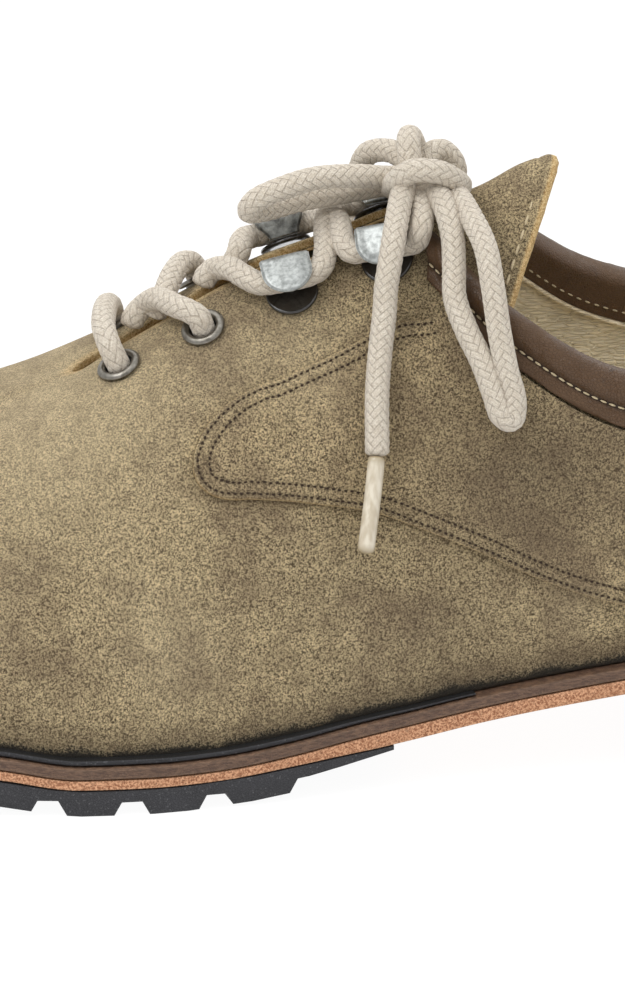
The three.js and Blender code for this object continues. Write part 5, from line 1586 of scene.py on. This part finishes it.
# A darker silver, taken by the hooks on the medial side.
DARK_SILVER = metal("dark_silver", tint(156, 158, 154), tint(44, 44, 44), 0.4, 0.0003, 0.003)
NICKEL = metal("eyelet_nickel", tint(150, 146, 138), tint(104, 100, 92), 0.34, 0.00004, 0.0012)
LACQUER, tree, shader = finish("black_lacquer", 0.18, Coat_Weight=0.8, Coat_Roughness=0.06)
grime = grime_of(tree, 0.003)
body = stained(tree, tint(22, 19, 17), grime["Dust"], 0.4, tint(52, 44, 36))
covered(tree, shader, body, grime["Dust"], 0.0001)

# %% Turned rings and discs
RING_SIDES = 64


def turned(profile, key):
    """A closed profile of radius and height, turned about the axis of a fastening."""
    turn, centre = FIXED[key]
    angle = (np.arange(RING_SIDES) / RING_SIDES * 2 * math.pi)[:, None]
    radius, height = np.array(profile).T
    flat_height = np.broadcast_to(height, (RING_SIDES, len(height)))
    local = np.stack([radius * np.cos(angle), radius * np.sin(angle), flat_height], -1)
    flat = (centre + local @ turn.T).reshape(-1, 3)
    return flat, turned_out(flat, ring_faces(RING_SIDES, len(radius), True))


EYELET_RING = closed_curve(
    [
        (2.6, -2.5), (2.85, -2.55), (3.0, -2.4), (3.0, -1.0), (3.0, 0.1), (3.1, 0.3), (4.0, 0.3), (4.22, 0.42),
        (4.15, 0.75), (3.75, 1.08), (3.25, 1.18), (2.8, 0.98), (2.6, 0.5), (2.58, -1.0),
    ]
)
BASE_DISC = [
    (0.02, 0.3), (4.6, 0.3), (4.88, 0.38), (4.92, 0.6), (4.84, 0.86), (4.55, 1.0), (4.25, 0.92), (4.0, 0.84),
    (3.0, 0.82), (0.6, 0.82), (0.02, 0.82),
]
for key in FIXED:
    kind, name, side = key.split("_")
    if kind == "eyelet":
        piece(f"eyelet_ring_{name}_{side}", turned(EYELET_RING, key), NICKEL, [key])
    else:
        base = f"hook_base_{name}_{side}"
        piece(f"hook_disc_{name}_{side}", turned(BASE_DISC, key), LACQUER, [base])

# %% Hook plates
HOOK_NECK = 4.9
HOOK_WIDTH = 9.4
HOOK_REACH = 4.0
HOOK_THICK = 0.8
HOOK_FOOT = 1.3
HOOK_BEND = 1.9


def hook_plate(key):
    """A bent, domed plate: rises at the neck, turns over the lace and ends in a round edge."""
    turn, centre = FIXED[key]
    roof = HOOK_FOOT + LACE + GAP
    bend = HOOK_BEND
    high = roof + HOOK_THICK
    line = [(-HOOK_NECK, h) for h in np.linspace(HOOK_FOOT, high - bend, 10)]
    for a in np.linspace(0, math.pi / 2, 9)[1:]:
        line.append((-HOOK_NECK + bend * (1 - math.cos(a)), high - bend + bend * math.sin(a)))
    line += [(x, high) for x in np.linspace(-HOOK_NECK + bend, HOOK_REACH, 34)[1:]]
    run, up = np.array(line).T
    slope = unit(np.gradient(np.stack([run, up], -1), axis=0))
    side_x, side_z = slope[:, 1], -slope[:, 0]
    past = np.clip((run + 1) / (HOOK_REACH + 1), 0, 1)
    half = HOOK_WIDTH / 2 * np.where(run > -1, np.sqrt(np.clip(1 - past**2, 0.004, 1)), 1)
    neck = HOOK_WIDTH / 2 * (0.62 + 0.38 * smooth(HOOK_FOOT, roof - 0.6, up))
    half = np.where(run <= -HOOK_NECK + 0.01, neck, half)
    across = np.sin(np.linspace(-1, 1, 41) * math.pi / 2)
    y = half[:, None] * across
    edge_away = np.minimum(half[:, None] * (1 - np.abs(across)), 3.0)
    end_away = np.clip(HOOK_REACH - run, 0, 3)[:, None] + 0 * across
    rim_away = np.minimum(edge_away, end_away)
    dome = 0.55 * smooth(0.2, 2.6, rim_away) * smooth(-4.6, -3.0, run)[:, None]
    lip = 0.22 * np.exp(-(((run + HOOK_NECK - 0.9) / 0.6) ** 2))[:, None]
    drop = 0.28 * (1 - smooth(0.0, 0.5, rim_away))

    def face(lift):
        return np.stack([run[:, None] + side_x[:, None] * lift, y, up[:, None] + side_z[:, None] * lift], -1)

    sections = facing(face(-(dome + lip - drop)), face(HOOK_THICK - drop))
    return loft(centre + sections @ turn.T)


for key in FIXED:
    kind, name, side = key.split("_")
    if kind == "hook":
        metal_used = SILVER if side == "lateral" else DARK_SILVER
        piece(f"hook_dome_{name}_{side}", hook_plate(key), metal_used, [f"hook_plate_{name}_{side}"])

# %% [markdown]
# ## Floor
# The shoe stands on a plain pale floor with only a breath of shadow, as in a catalogue picture.
# %% Floor
FLOOR, tree, shader = finish("pale_floor", 0.9)
feed(tree, shader.inputs, {"Base Color": (0.1, 0.1, 0.1, 1), "Emission Color": (1, 1, 1, 1)})
feed(tree, shader.inputs, {"Emission Strength": 0.95, "Specular IOR Level": 0})
# Seen from below the floor lets the sole show
under = node(tree, "NewGeometry").outputs["Backfacing"]
feed(tree, shader.inputs, {"Alpha": maths(tree, "SUBTRACT", 1.0, under)})
corners = 4000 * np.array([(-1, -1, 0), (1, -1, 0), (1, 1, 0), (-1, 1, 0)])
mesh = mesh_of("floor", corners, [(0, 1, 2, 3)])
mesh.materials.append(FLOOR)
floor = put("floor", mesh)
